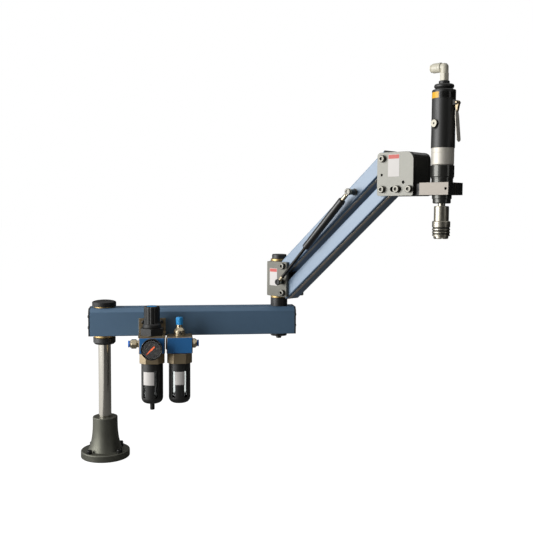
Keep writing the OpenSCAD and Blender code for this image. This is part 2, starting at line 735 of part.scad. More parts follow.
module inlet_fitting() color([0.75, 0.68, 0.55]) at_inlet() fitting(inlet_sink);
module outlet_fitting() color([0.75, 0.68, 0.55]) at_outlet() fitting(outlet_sink);
module inlet_collet() color([0.1, 0.3, 0.85]) at_inlet() collet();
module outlet_collet() color([0.1, 0.3, 0.85]) at_outlet() collet();

module sight_neck() color([0.7, 0.63, 0.5]) at_lub() difference() {
    union() {
        translate([0, 0, air_z1 - 8]) cylinder(d = 16, h = 9);
        rotate_extrude() polygon([[0, air_z1], [14.4, air_z1], [14.4, air_z1 + 13], [13, air_z1 + 15],
            [7.4, air_z1 + 21], [7.2, air_z1 + 27.4], [0, air_z1 + 27.4]]);
    }
    translate([0, 0, air_z1 + 12]) cylinder(d = 6 + 2 * run_fit, h = 20);
    translate([1.5, -6, air_z1 + 5.5]) rotate([90, 0, 0]) cylinder(d = 8, h = 10);
}

module sight_cap() color([0.1, 0.45, 0.9]) at_lub() {
    translate([0, 0, air_z1 + 14]) cylinder(d = 6, h = 14);
    rotate_extrude() polygon([[0, air_z1 + 27.7], [8.4, air_z1 + 27.7], [9.1, air_z1 + 45],
        [8.1, air_z1 + 46.3], [0, air_z1 + 46.3]]);
}

// A ribbed knob with a shallow round dish in its top
module regulator_knob() color([0.14, 0.14, 0.14]) at_reg() difference() {
    union() {
        translate([0, 0, knob_z]) cylinder(d = knob_d - 1.6, h = knob_h);
        for (i = [0 : 11]) rotate([0, 0, i * 30]) 
            translate([-knob_d / 2, -2.6, knob_z + 9]) cube([4, 5.2, knob_h - 10]);
        translate([0, 0, knob_z]) cylinder(d = knob_d + 6.2, h = 10);
    }
    translate([0, 0, knob_z - 1]) cylinder(d = 20 + 2 * run_fit, h = 16);
    translate([0, 0, knob_z + knob_h - 1.2]) cylinder(d = 29, h = 3);
}

module drain_valve() color([0.1, 0.1, 0.1]) at_reg() {
    translate([0, 0, guard_low - 18]) cylinder(d = 11.8, h = 18 - run_gap);
    translate([0, 0, guard_low - 1]) cylinder(d = 8 - 2 * run_fit, h = 12);
}

module elbow_block() color([0.5, 0.5, 0.47]) at_elbow() difference() {
    translate([0, 0, elbow_floor]) union() {
        cylinder(r = block_r, h = elbow_ceiling - elbow_floor);
        translate([0, -plate_gap / 2, 0]) cube([block_front, plate_gap, elbow_ceiling - elbow_floor]);
    }
    translate([0, 0, elbow_floor - 1]) cylinder(d = elbow_bush_d, h = 200);
}

module elbow_bushes() color([0.82, 0.64, 0.3]) at_elbow() difference() {
    union() {
        translate([0, 0, elbow_floor - elbow_flange_low]) cylinder(d = sleeve_d, h = elbow_flange_low);
        translate([0, 0, elbow_ceiling]) cylinder(d = sleeve_d, h = elbow_flange_top);
        difference() {
            translate([0, 0, elbow_floor]) cylinder(d = elbow_bush_d, h = elbow_ceiling - elbow_floor);
            translate([0, 0, (elbow_floor + elbow_ceiling) / 2 - 8]) cylinder(d = 60, h = 16);
        }
    }
    translate([0, 0, elbow_floor - 20]) cylinder(d = spindle_d + 2 * run_fit, h = 200);
}

module elbow_plate(v0) difference() {
    upright(v0, elbow_plate_t) translate([-elbow_plate_back, elbow_floor])
        round_rect(elbow_plate_back + pivot_u + elbow_nose, elbow_ceiling - elbow_floor, 3, 3, 3, 3);
    for (z = [low_z, up_z]) cross(pivot_u, z, v0 - elbow_plate_t - 1, v0 + 1, pivot_d);
}
module elbow_near_plate() color([0.55, 0.55, 0.5]) at_elbow() elbow_plate(-plate_gap / 2);
module elbow_far_plate() color([0.55, 0.55, 0.5]) at_elbow() elbow_plate(plate_gap / 2 + elbow_plate_t);

module elbow_pivot_bolts() color([0.5, 0.5, 0.48]) at_elbow() for (z = [low_z, up_z])
    cap_screw(pivot_u, z, -plate_gap / 2 - elbow_plate_t, pivot_d, plate_gap + 2 * elbow_plate_t);

// A box beam drawn from its elbow pivot along +x, then swung up
module swing_beam(z) at_elbow() translate([pivot_u, 0, z]) rotate([0, -rest_lift, 0]) children();

module beam_shape() difference() {
    union() {
        difference() {
            translate([-cross_d / 2, -beam_w / 2, beam_rise - beam_h / 2])
                cube([link_len + cross_d, beam_w, beam_h]);
            translate([-cross_d / 2 - 1, beam_wall - beam_w / 2, beam_rise - beam_h / 2 + beam_wall])
                cube([link_len + cross_d + 2, beam_w - 2 * beam_wall, beam_h - 2 * beam_wall]);
        }
        for (x = [0, link_len]) cross(x, 0, -beam_w / 2, beam_w / 2, cross_d);
    }
    for (x = [0, link_len]) cross(x, 0, -beam_w / 2 - 1, beam_w / 2 + 1, pivot_d + 2 * run_fit);
}

module beam_ends() for (x = [-beam_back, link_len + cross_d / 2])
    translate([x, -beam_w / 2, beam_rise - beam_h / 2]) cube([beam_cap_t, beam_w, beam_h]);

module upper_beam() color([0.72, 0.78, 0.85]) difference() {
    swing_beam(up_z) beam_shape();
    at_elbow() cross(s_up[0], s_up[1], -beam_w / 2 - 1, -beam_w / 2 + beam_wall + 1, stud_d);
}
module upper_beam_caps() color([0.12, 0.13, 0.15]) swing_beam(up_z) beam_ends();
module lower_beam() color([0.72, 0.78, 0.85]) swing_beam(low_z) beam_shape();
module lower_beam_caps() color([0.12, 0.13, 0.15]) swing_beam(low_z) beam_ends();

// The shallow socket in a stud's head whose underside is at v0
module stud_socket(at, v0) translate([at[0], v0 - stud_head_h - 1, at[1]]) rotate([-90, 0, 0])
    cylinder(d = head_d * 0.5, h = stud_head_h * 0.5 + 1, $fn = 6);

// Stud screw through the upper eye with its spacer, fixed in the beam's wall
module spring_top_stud() color([0.4, 0.4, 0.38]) at_elbow() difference() {
    union() {
        cross(s_up[0], s_up[1], eye_near - run_gap - stud_head_h, eye_near - run_gap, head_d);
        cross(s_up[0], s_up[1], eye_near - run_gap - 1, -beam_w / 2 + beam_wall, stud_d);
        cross(s_up[0], s_up[1], eye_far + run_gap, -beam_w / 2, stud_spacer_d);
    }
    stud_socket(s_up, eye_near - run_gap);
}

module along_spring() at_elbow() translate([s_low[0], -spring_v, s_low[1]]) rotate([0, 90 - s_ang, 0])
    children();

// An eye with the flat tang that joins it to the round part, clear of the stud's head
module spring_eye() {
    translate([0, spring_eye_w / 2, 0]) rotate([90, 0, 0]) cylinder(d = spring_eye_d, h = spring_eye_w);
    translate([-4, -spring_eye_w / 2, 0]) cube([8, spring_eye_w, eye_clear + 1]);
}

module spring_cylinder() color([0.07, 0.07, 0.07]) difference() {
    along_spring() {
        difference() {
            translate([0, 0, s_len - spring_end - spring_cyl_len])
                cylinder(d = spring_cyl_d, h = spring_cyl_len);
            translate([0, 0, s_len - spring_end - spring_cyl_len - 1])
                cylinder(d = spring_rod_d + 2 * run_fit, h = spring_cyl_len - 9);
        }
        translate([0, 0, s_len - spring_end - 1]) cylinder(d = 9, h = spring_end + 1 - eye_clear);
        translate([0, 0, s_len]) rotate([180, 0, 0]) spring_eye();
    }
    at_elbow() cross(s_up[0], s_up[1], -60, -20, stud_d + 2 * run_fit);
}

module spring_rod() color([0.75, 0.75, 0.72]) difference() {
    along_spring() {
        translate([0, 0, eye_clear])
            cylinder(d = spring_rod_d, h = s_len - spring_end - 10 - spring_travel - eye_clear);
        translate([0, 0, eye_clear]) cylinder(d = 10, h = 11);
        spring_eye();
    }
    at_elbow() cross(s_low[0], s_low[1], -60, -20, stud_d);
}

// Stud through the lower eye; its spacer stands just off the elbow plate
module spring_low_stud() color([0.4, 0.4, 0.38]) at_elbow() difference() {
    union() {
        cross(s_low[0], s_low[1], eye_near - stud_head_h, eye_near, head_d);
        cross(s_low[0], s_low[1], eye_near - 1, eye_far + 1, stud_d);
        cross(s_low[0], s_low[1], eye_far, -plate_gap / 2 - elbow_plate_t - run_gap, stud_spacer_d);
    }
    stud_socket(s_low, eye_near);
}

module head_outline(u0, rear) translate([u0, head_z0])
    round_rect(head_u1 - u0, head_z1 - head_z0, head_corner, head_corner, head_round, rear);

module head_near_plate() color([0.75, 0.74, 0.69]) at_elbow() difference() {
    upright(-plate_gap / 2, head_plate_t) head_outline(head_u0, head_rear);
    for (z = [head_low_z, head_up_z]) cross(head_pu, z, -60, -20, pivot_d);
    cross(head_pu + end_bolt_u, head_low_z, -60, -20, pivot_d);
    upright(-20, 40) {
        translate([head_pu + slot_bolt_u - 14, head_low_z]) circle(d = slot_w);
        translate([head_pu + slot_bolt_u + 5, head_low_z]) circle(d = slot_w);
        translate([head_pu + slot_bolt_u - 14, head_low_z - slot_w / 2]) square([19, slot_w]);
    }
    cross(head_pu - 2.5, head_low_z + 32, -plate_gap / 2 - head_plate_t - 1, -plate_gap / 2 - 2, 6);
    cross(head_pu + 55.5, head_low_z + 15, -plate_gap / 2 - head_plate_t - 1, -plate_gap / 2 - 2, 7);
}

module head_far_plate() color([0.75, 0.74, 0.69]) at_elbow() difference() {
    upright(plate_gap / 2 + head_plate_t, head_plate_t) head_outline(head_u0, head_rear);
    for (z = [head_low_z, head_up_z]) cross(head_pu, z, 20, 60, pivot_d);
    for (u = [slot_bolt_u, end_bolt_u]) cross(head_pu + u, head_low_z, 20, 60, pivot_d);
}

// The block between the plates, round at its upper front, over the bracket's tongue
module head_core() color([0.07, 0.07, 0.07]) at_elbow() difference() {
    upright(plate_gap / 2, plate_gap) head_outline(core_u, head_corner);
    translate([core_u - 1, -plate_gap, head_z0 - 1])
        cube([head_len, 2 * plate_gap, tongue_z + bracket_h - 2 - head_z0 + 1]);
}

module head_bolts() color([0.5, 0.5, 0.47]) at_elbow() {
    for (z = [head_low_z, head_up_z]) cap_screw(head_pu, z, -plate_gap / 2 - head_plate_t, pivot_d,
        plate_gap + 2 * head_plate_t);
    for (u = [slot_bolt_u, end_bolt_u]) cap_screw(head_pu + u, head_low_z,
        -plate_gap / 2 - head_plate_t, pivot_d, plate_gap + 2 * head_plate_t);
    // The bracket's clamping screw lies deep in its hole
    cross(clamp_u, tongue_z + bracket_h / 2, 6 - bracket_w / 2, bracket_w / 2 - 8, screw_d);
}

// A tongue between the head plates and a split clamp round the motor's nose
module tool_bracket() color([0.76, 0.72, 0.68]) at_elbow() difference() {
    union() {
        translate([core_u, -plate_gap / 2, tongue_z])
            cube([bracket_u - core_u + 1, plate_gap, bracket_h - 2]);
        translate([bracket_u, -bracket_w / 2, tongue_z]) cube([bracket_len, bracket_w, bracket_h]);
    }
    translate([tool_u, 0, tongue_z - 1]) cylinder(d = nose_d, h = bracket_h + 2);
    translate([tool_u, -slit_w / 2, tongue_z - 1]) cube([bracket_len, slit_w, bracket_h + 2]);
    for (u = [slot_bolt_u, end_bolt_u]) cross(head_pu + u, head_low_z, -40, 40, pivot_d);
    cross(clamp_u, tongue_z + bracket_h / 2, -bracket_w, bracket_w / 2 - 8, screw_d);
}

module gear_ring() color([0.08, 0.08, 0.08]) at_tool() difference() {
    union() {
        translate([0, 0, tongue_z]) cylinder(d = nose_d, h = bracket_h + neck_h);
        translate([0, 0, ring_z]) cylinder(d = ring_d - 2.4, h = 3);
        translate([0, 0, ring_z + 3]) cylinder(d = ring_d, h = ring_h - 3);
    }
    translate([0, 0, tongue_z - 1]) cylinder(d = drive_d + 2 * run_fit, h = drive_in + 3);
}

module gear_housing() color([0.8, 0.78, 0.72]) at_tool() rotate_extrude()
    polygon([[0, gear_z], [gear_d / 2 - 1.5, gear_z], [gear_d / 2, gear_z + 1.5], [gear_d / 2, motor_z],
        [0, motor_z]]);

module motor_body() color([0.12, 0.12, 0.11]) at_tool() difference() {
    union() {
        rotate_extrude() polygon([[0, motor_z], [motor_low_d / 2, motor_z],
            [motor_low_d / 2 - 0.3, motor_z + motor_h * 0.3],
            [motor_top_d / 2, motor_cap_z - 1.4], [motor_top_d / 2 - 1.4, motor_cap_z],
                [cap_d / 2 - 3.2, motor_cap_z],
            [cap_d / 2 - 1, motor_cap_z + cap_h * 0.45], [cap_d / 2, motor_cap_z + cap_h * 0.7],
            [cap_d / 2 - 1.2, port_z - 1], [cap_d / 2 - 4, port_z], [port_d / 2, port_z],
            [port_d / 2, port_z + port_h - 1], [port_d / 2 - 1, port_z + port_h], [0, port_z + port_h]]);
        rotate([0, 0, lever_az]) for (s = [-1, 1]) translate([0, s * 6.6 - 1.6, lever_z - 6]) {
            translate([20, 0, 0]) cube([lever_r - 20, 3.2, 12]);
            translate([lever_r, 0, 6]) rotate([-90, 0, 0]) cylinder(d = 9, h = 3.2);
        }
    }
    rotate([0, 0, lever_az]) translate([lever_r, -20, lever_z]) rotate([-90, 0, 0])
        cylinder(d = lever_pin_d + 2 * run_fit, h = 40);
    rotate([0, 0, button_az]) translate([15, 0, button_z]) rotate([0, 90, 0])
        cylinder(d = button_d + 2 * run_fit, h = 30);
    translate([0, 0, port_z - 6]) cylinder(d = 12 + 2 * run_fit, h = 30);
}

// The lever's pin, hub and bent blade
module throttle_lever() color([0.55, 0.55, 0.5]) at_tool() rotate([0, 0, lever_az]) {
    translate([lever_r, -8.2, lever_z]) rotate([-90, 0, 0]) cylinder(d = lever_pin_d, h = 16.4);
    translate([lever_r, -4.6, lever_z]) rotate([-90, 0, 0]) cylinder(d = 9, h = 9.2);
    translate([0, 4.6, lever_z]) rotate([90, 0, 0]) linear_extrude(height = 9.2)
        polygon([[lever_r - 2.6, -19], [lever_r + 0.6, -19], [lever_r + 4.5, 0], [lever_r - 4, -2]]);
    translate([0, lever_w / 2, lever_z]) rotate([90, 0, 0]) linear_extrude(height = lever_w)
        polygon([[lever_r - 3.2, -15], [lever_r + 0.2, -15], [lever_r + 7.6, 4 - lever_len],
            [lever_r + 6.4, 1 - lever_len],
            [lever_r + 4.2, -lever_len]]);
}

module push_button() color([0.85, 0.82, 0.75]) at_tool() rotate([0, 0, button_az])
    translate([19.5, 0, button_z])
    rotate([0, 90, 0]) difference() {
        cylinder(d = button_d, h = 9);
        translate([0, 0, 7.8]) cylinder(d = 7, h = 2);
    }

// Stepped ring and nut that hold the nose under the bracket
module clamp_ring() color([0.1, 0.1, 0.1]) at_tool() difference() {
    union() {
        translate([0, 0, tongue_z - under_ring_h]) cylinder(d = under_ring_d, h = under_ring_h);
        translate([0, 0, nut_z]) cylinder(d = nose_nut_d, h = nose_nut_h);
    }
    translate([0, 0, nut_z - 1]) cylinder(d = drive_d + 2 * run_fit, h = 40);
}

module chuck_body() color([0.7, 0.66, 0.6]) at_tool() difference() {
    union() {
        translate([0, 0, chuck_top - 1]) cylinder(d = drive_d, h =
            drive_h + nose_nut_h + under_ring_h + drive_in + 1);
        rotate_extrude() polygon([[0, chuck_top], [chuck_d / 2 - 1.5, chuck_top],
            [chuck_d / 2, chuck_top - 1.5],
            [chuck_d / 2, sleeve_low + 2], [chuck_d / 2 - 1, chuck_low], [0, chuck_low]]);
    }
    translate([0, 0, chuck_low - 1]) cylinder(d = socket_d, h = socket_depth + 1);
    for (a = [15, 75, 135]) rotate([0, 0, a]) translate([-25, -3, chuck_low - 1])
        cube([50, 6, teeth_h - 1]);
}

module chuck_sleeve() color([0.66, 0.63, 0.57]) at_tool() rotate_extrude() polygon([
    [chuck_d / 2 + run_fit, sleeve_low], [chuck_sleeve_d / 2 - 0.8, sleeve_low],
    [chuck_sleeve_d / 2 - 0.8, sleeve_low + 3], [chuck_sleeve_d / 2 - 1.6, sleeve_low + 3.4],
    [chuck_sleeve_d / 2 - 1.6, sleeve_low + 5.2], [chuck_sleeve_d / 2 - 0.4, sleeve_low + 5.6],
    [chuck_sleeve_d / 2 - 0.4, sleeve_low + 9.4], [chuck_sleeve_d / 2 - 1.6, sleeve_low + 9.8],
    [chuck_sleeve_d / 2 - 1.6, sleeve_low + 11.6], [chuck_sleeve_d / 2 - 0.2, sleeve_low + 12],
    [chuck_sleeve_d / 2 - 0.2, sleeve_low + 16], [chuck_sleeve_d / 2 - 1.6, sleeve_low + 16.4],
    [chuck_sleeve_d / 2 - 1.6, sleeve_low + 18.2], [chuck_sleeve_d / 2, sleeve_low + 18.6],
    [chuck_sleeve_d / 2, sleeve_top - 1], [chuck_sleeve_d / 2 - 1, sleeve_top],
        [chuck_d / 2 + run_fit, sleeve_top]]);

// Swivel push-in elbow on the motor's port, its barrel back along the arm
module air_elbow() color([0.88, 0.86, 0.78]) at_tool() difference() {
    union() {
        translate([0, 0, port_z - 4]) cylinder(d = 12, h = 20);
        translate([0, 0, inlet_z]) cylinder(d = 19.4, h = 16);
        translate([0, 0, inlet_z + 15]) cylinder(d = 16.8, h = inlet_barrel - 15);
        translate([0, 0, inlet_z + inlet_barrel]) sphere(d = 16.8);
        translate([0, 0, inlet_z + inlet_barrel]) rotate([0, -90, 0]) {
            cylinder(d = 16.8, h = 9);
            translate([0, 0, 7]) cylinder(d = collet_seat_d + 6.2, h = barrel_end - 7);
        }
    }
    translate([0, 0, inlet_z + inlet_barrel]) rotate([0, -90, 0]) {
        translate([0, 0, 8]) cylinder(d = hose_d + hose_play, h = 30);
        translate([0, 0, barrel_end - 11.6]) cylinder(d = collet_seat_d, h = 30);
    }
}

module air_collet() color([0.92, 0.9, 0.84]) at_tool() translate([0, 0, inlet_z + inlet_barrel])
    rotate([0, -90, 0]) difference() {
    union() {
        translate([0, 0, barrel_end - 9.6]) cylinder(d = collet_seat_d - 2 * run_fit, h = 12);
        translate([0, 0, barrel_end + ring_push + run_gap]) cylinder(d = 17, h = 3);
    }
    translate([0, 0, 10]) cylinder(d = hose_d + hose_play, h = barrel_end);
}

base_casting();
post();
stop_collar();
top_cap();
arm_tube();
post_bushes();
end_plates();
arm_screws();
elbow_spindle();
elbow_sleeve();
elbow_cap();
foot_washer();
foot_bolt();
air_bracket();
regulator_body();
lubricator_body();
face_plates();
bonnet();
filter_guard();
lubricator_guard();
clear_bowls();
gauge_case();
gauge_lens();
inlet_fitting();
outlet_fitting();
sight_neck();
regulator_knob();
gauge_needle();
drain_valve();
sight_cap();
inlet_collet();
outlet_collet();
elbow_block();
elbow_bushes();
elbow_near_plate();
elbow_far_plate();
elbow_pivot_bolts();
upper_beam();
upper_beam_caps();
spring_top_stud();
lower_beam();
lower_beam_caps();
spring_cylinder();
spring_rod();
spring_low_stud();
head_near_plate();
head_far_plate();
head_core();
head_bolts();
tool_bracket();
gear_ring();
gear_housing();
motor_body();
clamp_ring();
throttle_lever();
push_button();
chuck_body();
chuck_sleeve();
air_elbow();
air_collet();
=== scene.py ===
import math

import bmesh
import bpy
import numpy as np
from bpy.props import FloatProperty, FloatVectorProperty, PointerProperty
from mathutils import Matrix, Vector


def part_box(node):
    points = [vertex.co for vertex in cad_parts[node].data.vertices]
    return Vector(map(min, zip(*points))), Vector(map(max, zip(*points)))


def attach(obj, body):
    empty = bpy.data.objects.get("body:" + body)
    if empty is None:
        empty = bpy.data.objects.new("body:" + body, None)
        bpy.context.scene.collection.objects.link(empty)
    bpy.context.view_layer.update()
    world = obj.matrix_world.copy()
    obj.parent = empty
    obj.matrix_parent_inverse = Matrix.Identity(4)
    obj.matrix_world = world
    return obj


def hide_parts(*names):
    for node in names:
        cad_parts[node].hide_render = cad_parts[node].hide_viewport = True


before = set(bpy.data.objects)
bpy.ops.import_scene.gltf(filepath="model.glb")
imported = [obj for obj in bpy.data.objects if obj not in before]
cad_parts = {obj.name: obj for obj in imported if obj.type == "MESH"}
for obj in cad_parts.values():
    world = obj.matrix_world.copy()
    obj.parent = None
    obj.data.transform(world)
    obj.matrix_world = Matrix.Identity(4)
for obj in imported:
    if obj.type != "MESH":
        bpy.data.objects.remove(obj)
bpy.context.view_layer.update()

bl_info = {
    "name": "Arm Tapping Machine",
    "version": (1, 0, 0),
    "blender": (4, 5, 0),
    "location": "3D View > Sidebar > Tapping Arm",
    "description": "Dresses an articulated arm tapping machine: post, level arm, lifting arm, air unit and motor",
    "category": "Add Mesh",
}

# Fixed places of the machine, in millimetres
TUBE_HALF = 35.0  # half the width of the level tube
BEAM_WIDE, BEAM_HIGH, BEAM_PAST = 49.0, 32.0, 7.0  # section of the link beams, and their length past the pivots
BRACKET_THICK = 4.0  # sheet of the air unit's bracket
BRACKET_SCREW_Z = 351.8  # height of the bracket's two screws
POST_BORE, SPINDLE_BORE = 16.05, 13.05  # radii of the bushes' bores
ELBOW_SIDE, ELBOW_PLATE = 33.0, 8.0  # outer faces from the middle of the arm, and thickness of a plate
HEAD_SIDE = 34.5  # outer faces of the head plates from the middle of the arm
ELBOW_LABEL_Z, HEAD_LABEL_Z = 463.8, 734.5  # heights of the labels' middles
SCREW_HEAD, SCREW_HIGH, SCREW_FLATS, SCREW_SHANK = 16.0, 8.0, 6.8, 10.0  # cap screws of the elbow and head
UNIT_TOP = 322.3  # top of the air unit's bodies
PORT_Z = UNIT_TOP - 19.5  # height of the air unit's ports
GAUGE_SEAT, GAUGE_Z = -109.0, 296.9  # y of the gauge's back face, and height of its axis
DIAL_TURN = 270.0  # sweep of the gauge's scale in degrees, from lower left to lower right


def node_box(name):
    """Lowest and highest corner of a CAD node, in millimetres."""
    low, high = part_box(name)
    return np.array(low) * 1000, np.array(high) * 1000


def node_heights(name):
    """Lowest and highest z of a CAD node, in millimetres."""
    low, high = node_box(name)
    return low[2], high[2]


def node_radius(name):
    """Radius of an upright turned CAD node."""
    low, high = node_box(name)
    return (high[0] - low[0]) / 2


def length(name, mm, note):
    """A length setting, shown in scene units; mm is its default in millimetres."""
    return FloatProperty(name=name, description=note, default=mm / 1000, min=0.0, subtype="DISTANCE", unit="LENGTH")


def angle(name, degrees, note):
    """An angle setting; its default is given in degrees."""
    return FloatProperty(name=name, description=note, default=math.radians(degrees), subtype="ANGLE",
                         unit="ROTATION")


def power(name, watts, note):
    """A light's power setting, in watts."""
    return FloatProperty(name=name, description=note, default=watts, min=0.0, subtype="POWER")


def colour(name, rgb, note):
    """A colour setting, in linear values."""
    return FloatVectorProperty(name=name, description=note, default=rgb, size=3, min=0.0, max=1.0, subtype="COLOR")


class ArmSizes(bpy.types.PropertyGroup):
    """Where the arms stand, and the sizes of what is dressed on them"""

    reach: length("Reach", 450, "Distance from the post axis to the elbow axis")
    yaw: angle("Yaw", -52, "Turn of the lifting arm from the level arm")
    rise: angle("Rise", 40, "Upward angle of the two link beams")
    pivot: length("Pivot", 45, "Distance from the elbow axis to the link pivots")
    low_pivot: length("Low pivot height", 425, "Height of the lower link pivot at the elbow")
    high_pivot: length("High pivot height", 493, "Height of the upper link pivot at the elbow")
    link: length("Link length", 400, "Pivot to pivot length of the link beams")
    tube_corner: length("Tube corner", 2.4, "Corner radius of the square tube")
    beam_corner: length("Beam corner", 3.0, "Corner radius of the link beams")
    label_w: length("Label width", 26, "Width of the elbow's plain label")


class SpringSizes(bpy.types.PropertyGroup):
    """The gas spring beside the link beams"""

    stud_u: length("Lower stud", 42.5, "Distance of the lower stud from the elbow axis")
    stud_z: length("Lower stud height", 453.3, "Height of the lower stud")
    side: length("Side distance", 46.4, "Distance of the spring from the middle of the arm")
    rise: angle("Rise", 45.2259, "Upward angle of the spring at rest")
    span: length("Span", 316.248, "Distance between the two studs at rest")
    eye: length("Eye diameter", 15, "Outer diameter of the eyes")


class ToolSizes(bpy.types.PropertyGroup):
    """The head and the tapping motor"""

    axis_u: length("Tool axis", 483.218, "Distance of the tool axis from the elbow axis")
    head_u: length("Head pivot", 351.418, "Distance of the head pivots from the elbow axis")
    lever_turn: angle("Lever side", 5, "Side of the motor that carries the throttle lever")
    lever_r: length("Lever pin radius", 32, "Distance of the lever pin from the tool axis")
    button_side: angle("Button side", -103, "Side of the motor that carries the reversing button")
    knurl: length("Knurl depth", 0.25, "Depth of the knurling on screw heads")


class AirSizes(bpy.types.PropertyGroup):
    """The air preparation unit in front of the level arm"""

    regulator_x: length("Regulator position", 122, "Distance of the regulator from the post axis")
    lubricator_x: length("Lubricator position", 189.6, "Distance of the lubricator from the post axis")
    depth: length("Set out", 75, "Distance of the unit from the middle of the tube")
    casting_round: length("Casting rounding", 2.5, "Rounding of the die cast bodies")
    dial: length("Dial diameter", 43.4, "Diameter of the gauge dial")


class Paints(bpy.types.PropertyGroup):
    """Colours of the finishes"""

    casting: colour("Casting", (0.115, 0.115, 0.094), "Dark grey paint of the base casting")
    tube: colour("Level arm", (0.105, 0.185, 0.285), "Blue of the level arm")
    # The link beams' blue is a lighter copy of the level arm's blue; the difference stands in for the light on their
    # near faces: painted light
    beam: colour("Link beams", (0.175, 0.265, 0.38), "Blue of the link beams")
    head: colour("Head plates", (0.25, 0.245, 0.21), "Grey of the head plates")
    elbow: colour("Elbow", (0.15, 0.145, 0.118), "Grey of the elbow plates")
    bracket: colour("Tool bracket", (0.27, 0.235, 0.195), "Warm grey of the split bracket")
    steel: colour("Steel", (0.5, 0.475, 0.42), "Bright turned steel")
    chuck: colour("Chuck", (0.33, 0.31, 0.255), "Hardened steel of the chuck")
    dark_steel: colour("Dark steel", (0.115, 0.111, 0.097), "Dark screws and studs")
    black: colour("Black", (0.012, 0.012, 0.011), "Black oxide and black paint")
    bronze: colour("Bronze", (0.42, 0.3, 0.13), "Bushes")
    zinc: colour("Zinc", (0.3, 0.235, 0.145), "Die cast zinc with a warm plating")
    nickel: colour("Nickel", (0.42, 0.36, 0.25), "Plated fittings")
    blue_plate: colour("Blue plates", (0.03, 0.185, 0.48), "Face plates of the air unit")
    bright_blue: colour("Bright blue", (0.02, 0.22, 0.85), "Release rings")
    sky_blue: colour("Cap blue", (0.03, 0.4, 0.9), "Sight cap and knob disc")
    cream: colour("Cream", (0.78, 0.74, 0.6), "Push-in elbow on the motor")
    orange: colour("Orange", (0.95, 0.13, 0.012), "Gauge needle")
    yellow: colour("Yellow", (0.95, 0.5, 0.01), "Plain block on the motor band")
    paper: colour("Label", (0.69, 0.66, 0.63), "Plain labels")
    red: colour("Label band", (0.6, 0.1, 0.08), "Band at the top of the labels")


class StageLight(bpy.types.PropertyGroup):
    """Lights and backdrop"""

    key: power("Key light", 66.0, "Power of the large soft light on the left")
    fill: power("Fill light", 4.0, "Power of the weak light on the right")
    back: power("Back light", 10.0, "Power of the light behind the machine")
    sky: FloatProperty(name="Sky", description="Level of the even light from all round", default=0.12, min=0.0,
                       max=2.0)


# ---------------------------------------------------------------- places


def move(x=0.0, y=0.0, z=0.0):
    """A shift, in millimetres."""
    m = np.eye(4)
    m[:3, 3] = (x, y, z)
    return m


def axes(a, b, c):
    """A turn that takes the local x, y and z axes to the directions a, b and c."""
    m = np.eye(4)
    m[:3, 0], m[:3, 1], m[:3, 2] = a, b, c
    return m


def turn_z(t):
    """A turn about z by t radians."""
    return axes((math.cos(t), math.sin(t), 0), (-math.sin(t), math.cos(t), 0), (0, 0, 1))


def tilt_up(t):
    """A turn that lifts the local x axis by t radians towards z."""
    return axes((math.cos(t), 0, math.sin(t)), (0, 1, 0), (-math.sin(t), 0, math.cos(t)))


def carry(m, p):
    """The points p, an array of x, y, z, taken through the place m."""
    return p @ m[:3, :3].T + m[:3, 3]


FACING = axes((1, 0, 0), (0, 0, 1), (0, -1, 0))  # local z looks along -y, local y is up
ALONG = axes((0, 1, 0), (0, 0, 1), (1, 0, 0))  # local z looks along x, local y is up
AGAINST = axes((0, -1, 0), (0, 0, 1), (-1, 0, 0))  # local z looks along -x, local y is up


class Machine:
    """The settings in millimetres and radians, and the places that pieces are built in."""

    def __init__(self, scene):
        for group in ("arm", "spring", "tool", "air"):
            settings = getattr(scene, "tapping_" + group)
            for key, prop in settings.bl_rna.properties.items():
                if prop.type == "FLOAT" and not prop.is_array:
                    value = getattr(settings, key) * (1000 if prop.unit == "LENGTH" else 1)
                    setattr(self, group + "_" + key, value)
        self.elbow = move(self.arm_reach) @ turn_z(self.arm_yaw)
        self.tool = self.elbow @ move(self.tool_axis_u)
        self.low_beam = self.elbow @ move(self.arm_pivot, 0, self.arm_low_pivot) @ tilt_up(self.arm_rise)
        self.high_beam = self.elbow @ move(self.arm_pivot, 0, self.arm_high_pivot) @ tilt_up(self.arm_rise)
        foot = move(self.spring_stud_u, -self.spring_side, self.spring_stud_z)
        self.spring_foot = self.elbow @ foot @ tilt_up(self.spring_rise)
        self.regulator = move(self.air_regulator_x, -self.air_depth)
        self.lubricator = move(self.air_lubricator_x, -self.air_depth)

    def beside(self, u, v, z):
        """A place on the lifting arm's near side, with local z looking out of the side."""
        return self.elbow @ move(u, v, z) @ FACING


# ---------------------------------------------------------------- shapes


def soften(points, radius, steps=4, closed=False):
    """Rounds each corner of a run of points: it is cut back by the radius, or by under half its
    shorter side, and bridged by a parabola through the two cuts with the corner as its control.
    A third value on a point is that corner's own radius."""
    pts = [tuple(p) for p in points]
    out, n = [], len(pts)
    for i, p in enumerate(pts):
        b = np.array(p[:2], float)
        if not closed and i in (0, n - 1):
            out.append(b)
            continue
        a, c = np.array(pts[i - 1][:2], float), np.array(pts[(i + 1) % n][:2], float)
        r = p[2] if len(p) > 2 else radius
        la, lc = np.linalg.norm(a - b), np.linalg.norm(c - b)
        cut = min(r, la * 0.49, lc * 0.49)
        if cut < 1e-4:
            out.append(b)
            continue
        a, c = b + (a - b) * cut / la, b + (c - b) * cut / lc
        for t in np.linspace(0, 1, steps + 1):
            out.append((1 - t) ** 2 * a + 2 * t * (1 - t) * b + t * t * c)
    return np.array(out)


def spun(profile, points, radius=None):
    """Rings of a turned shape: each (r, h) of the profile is carried round the local z axis.
    radius, if given, changes r by the angle round the axis: r becomes radius(r, angle)."""
    profile = np.asarray(profile, float)
    t = np.linspace(0, 2 * np.pi, points, endpoint=False)
    r = np.repeat(profile[:, :1], points, 1)
    if radius is not None:
        r = radius(r, t[None, :])
    h = np.repeat(profile[:, 1:2], points, 1)
    return np.stack([r * np.cos(t), r * np.sin(t), h], -1)


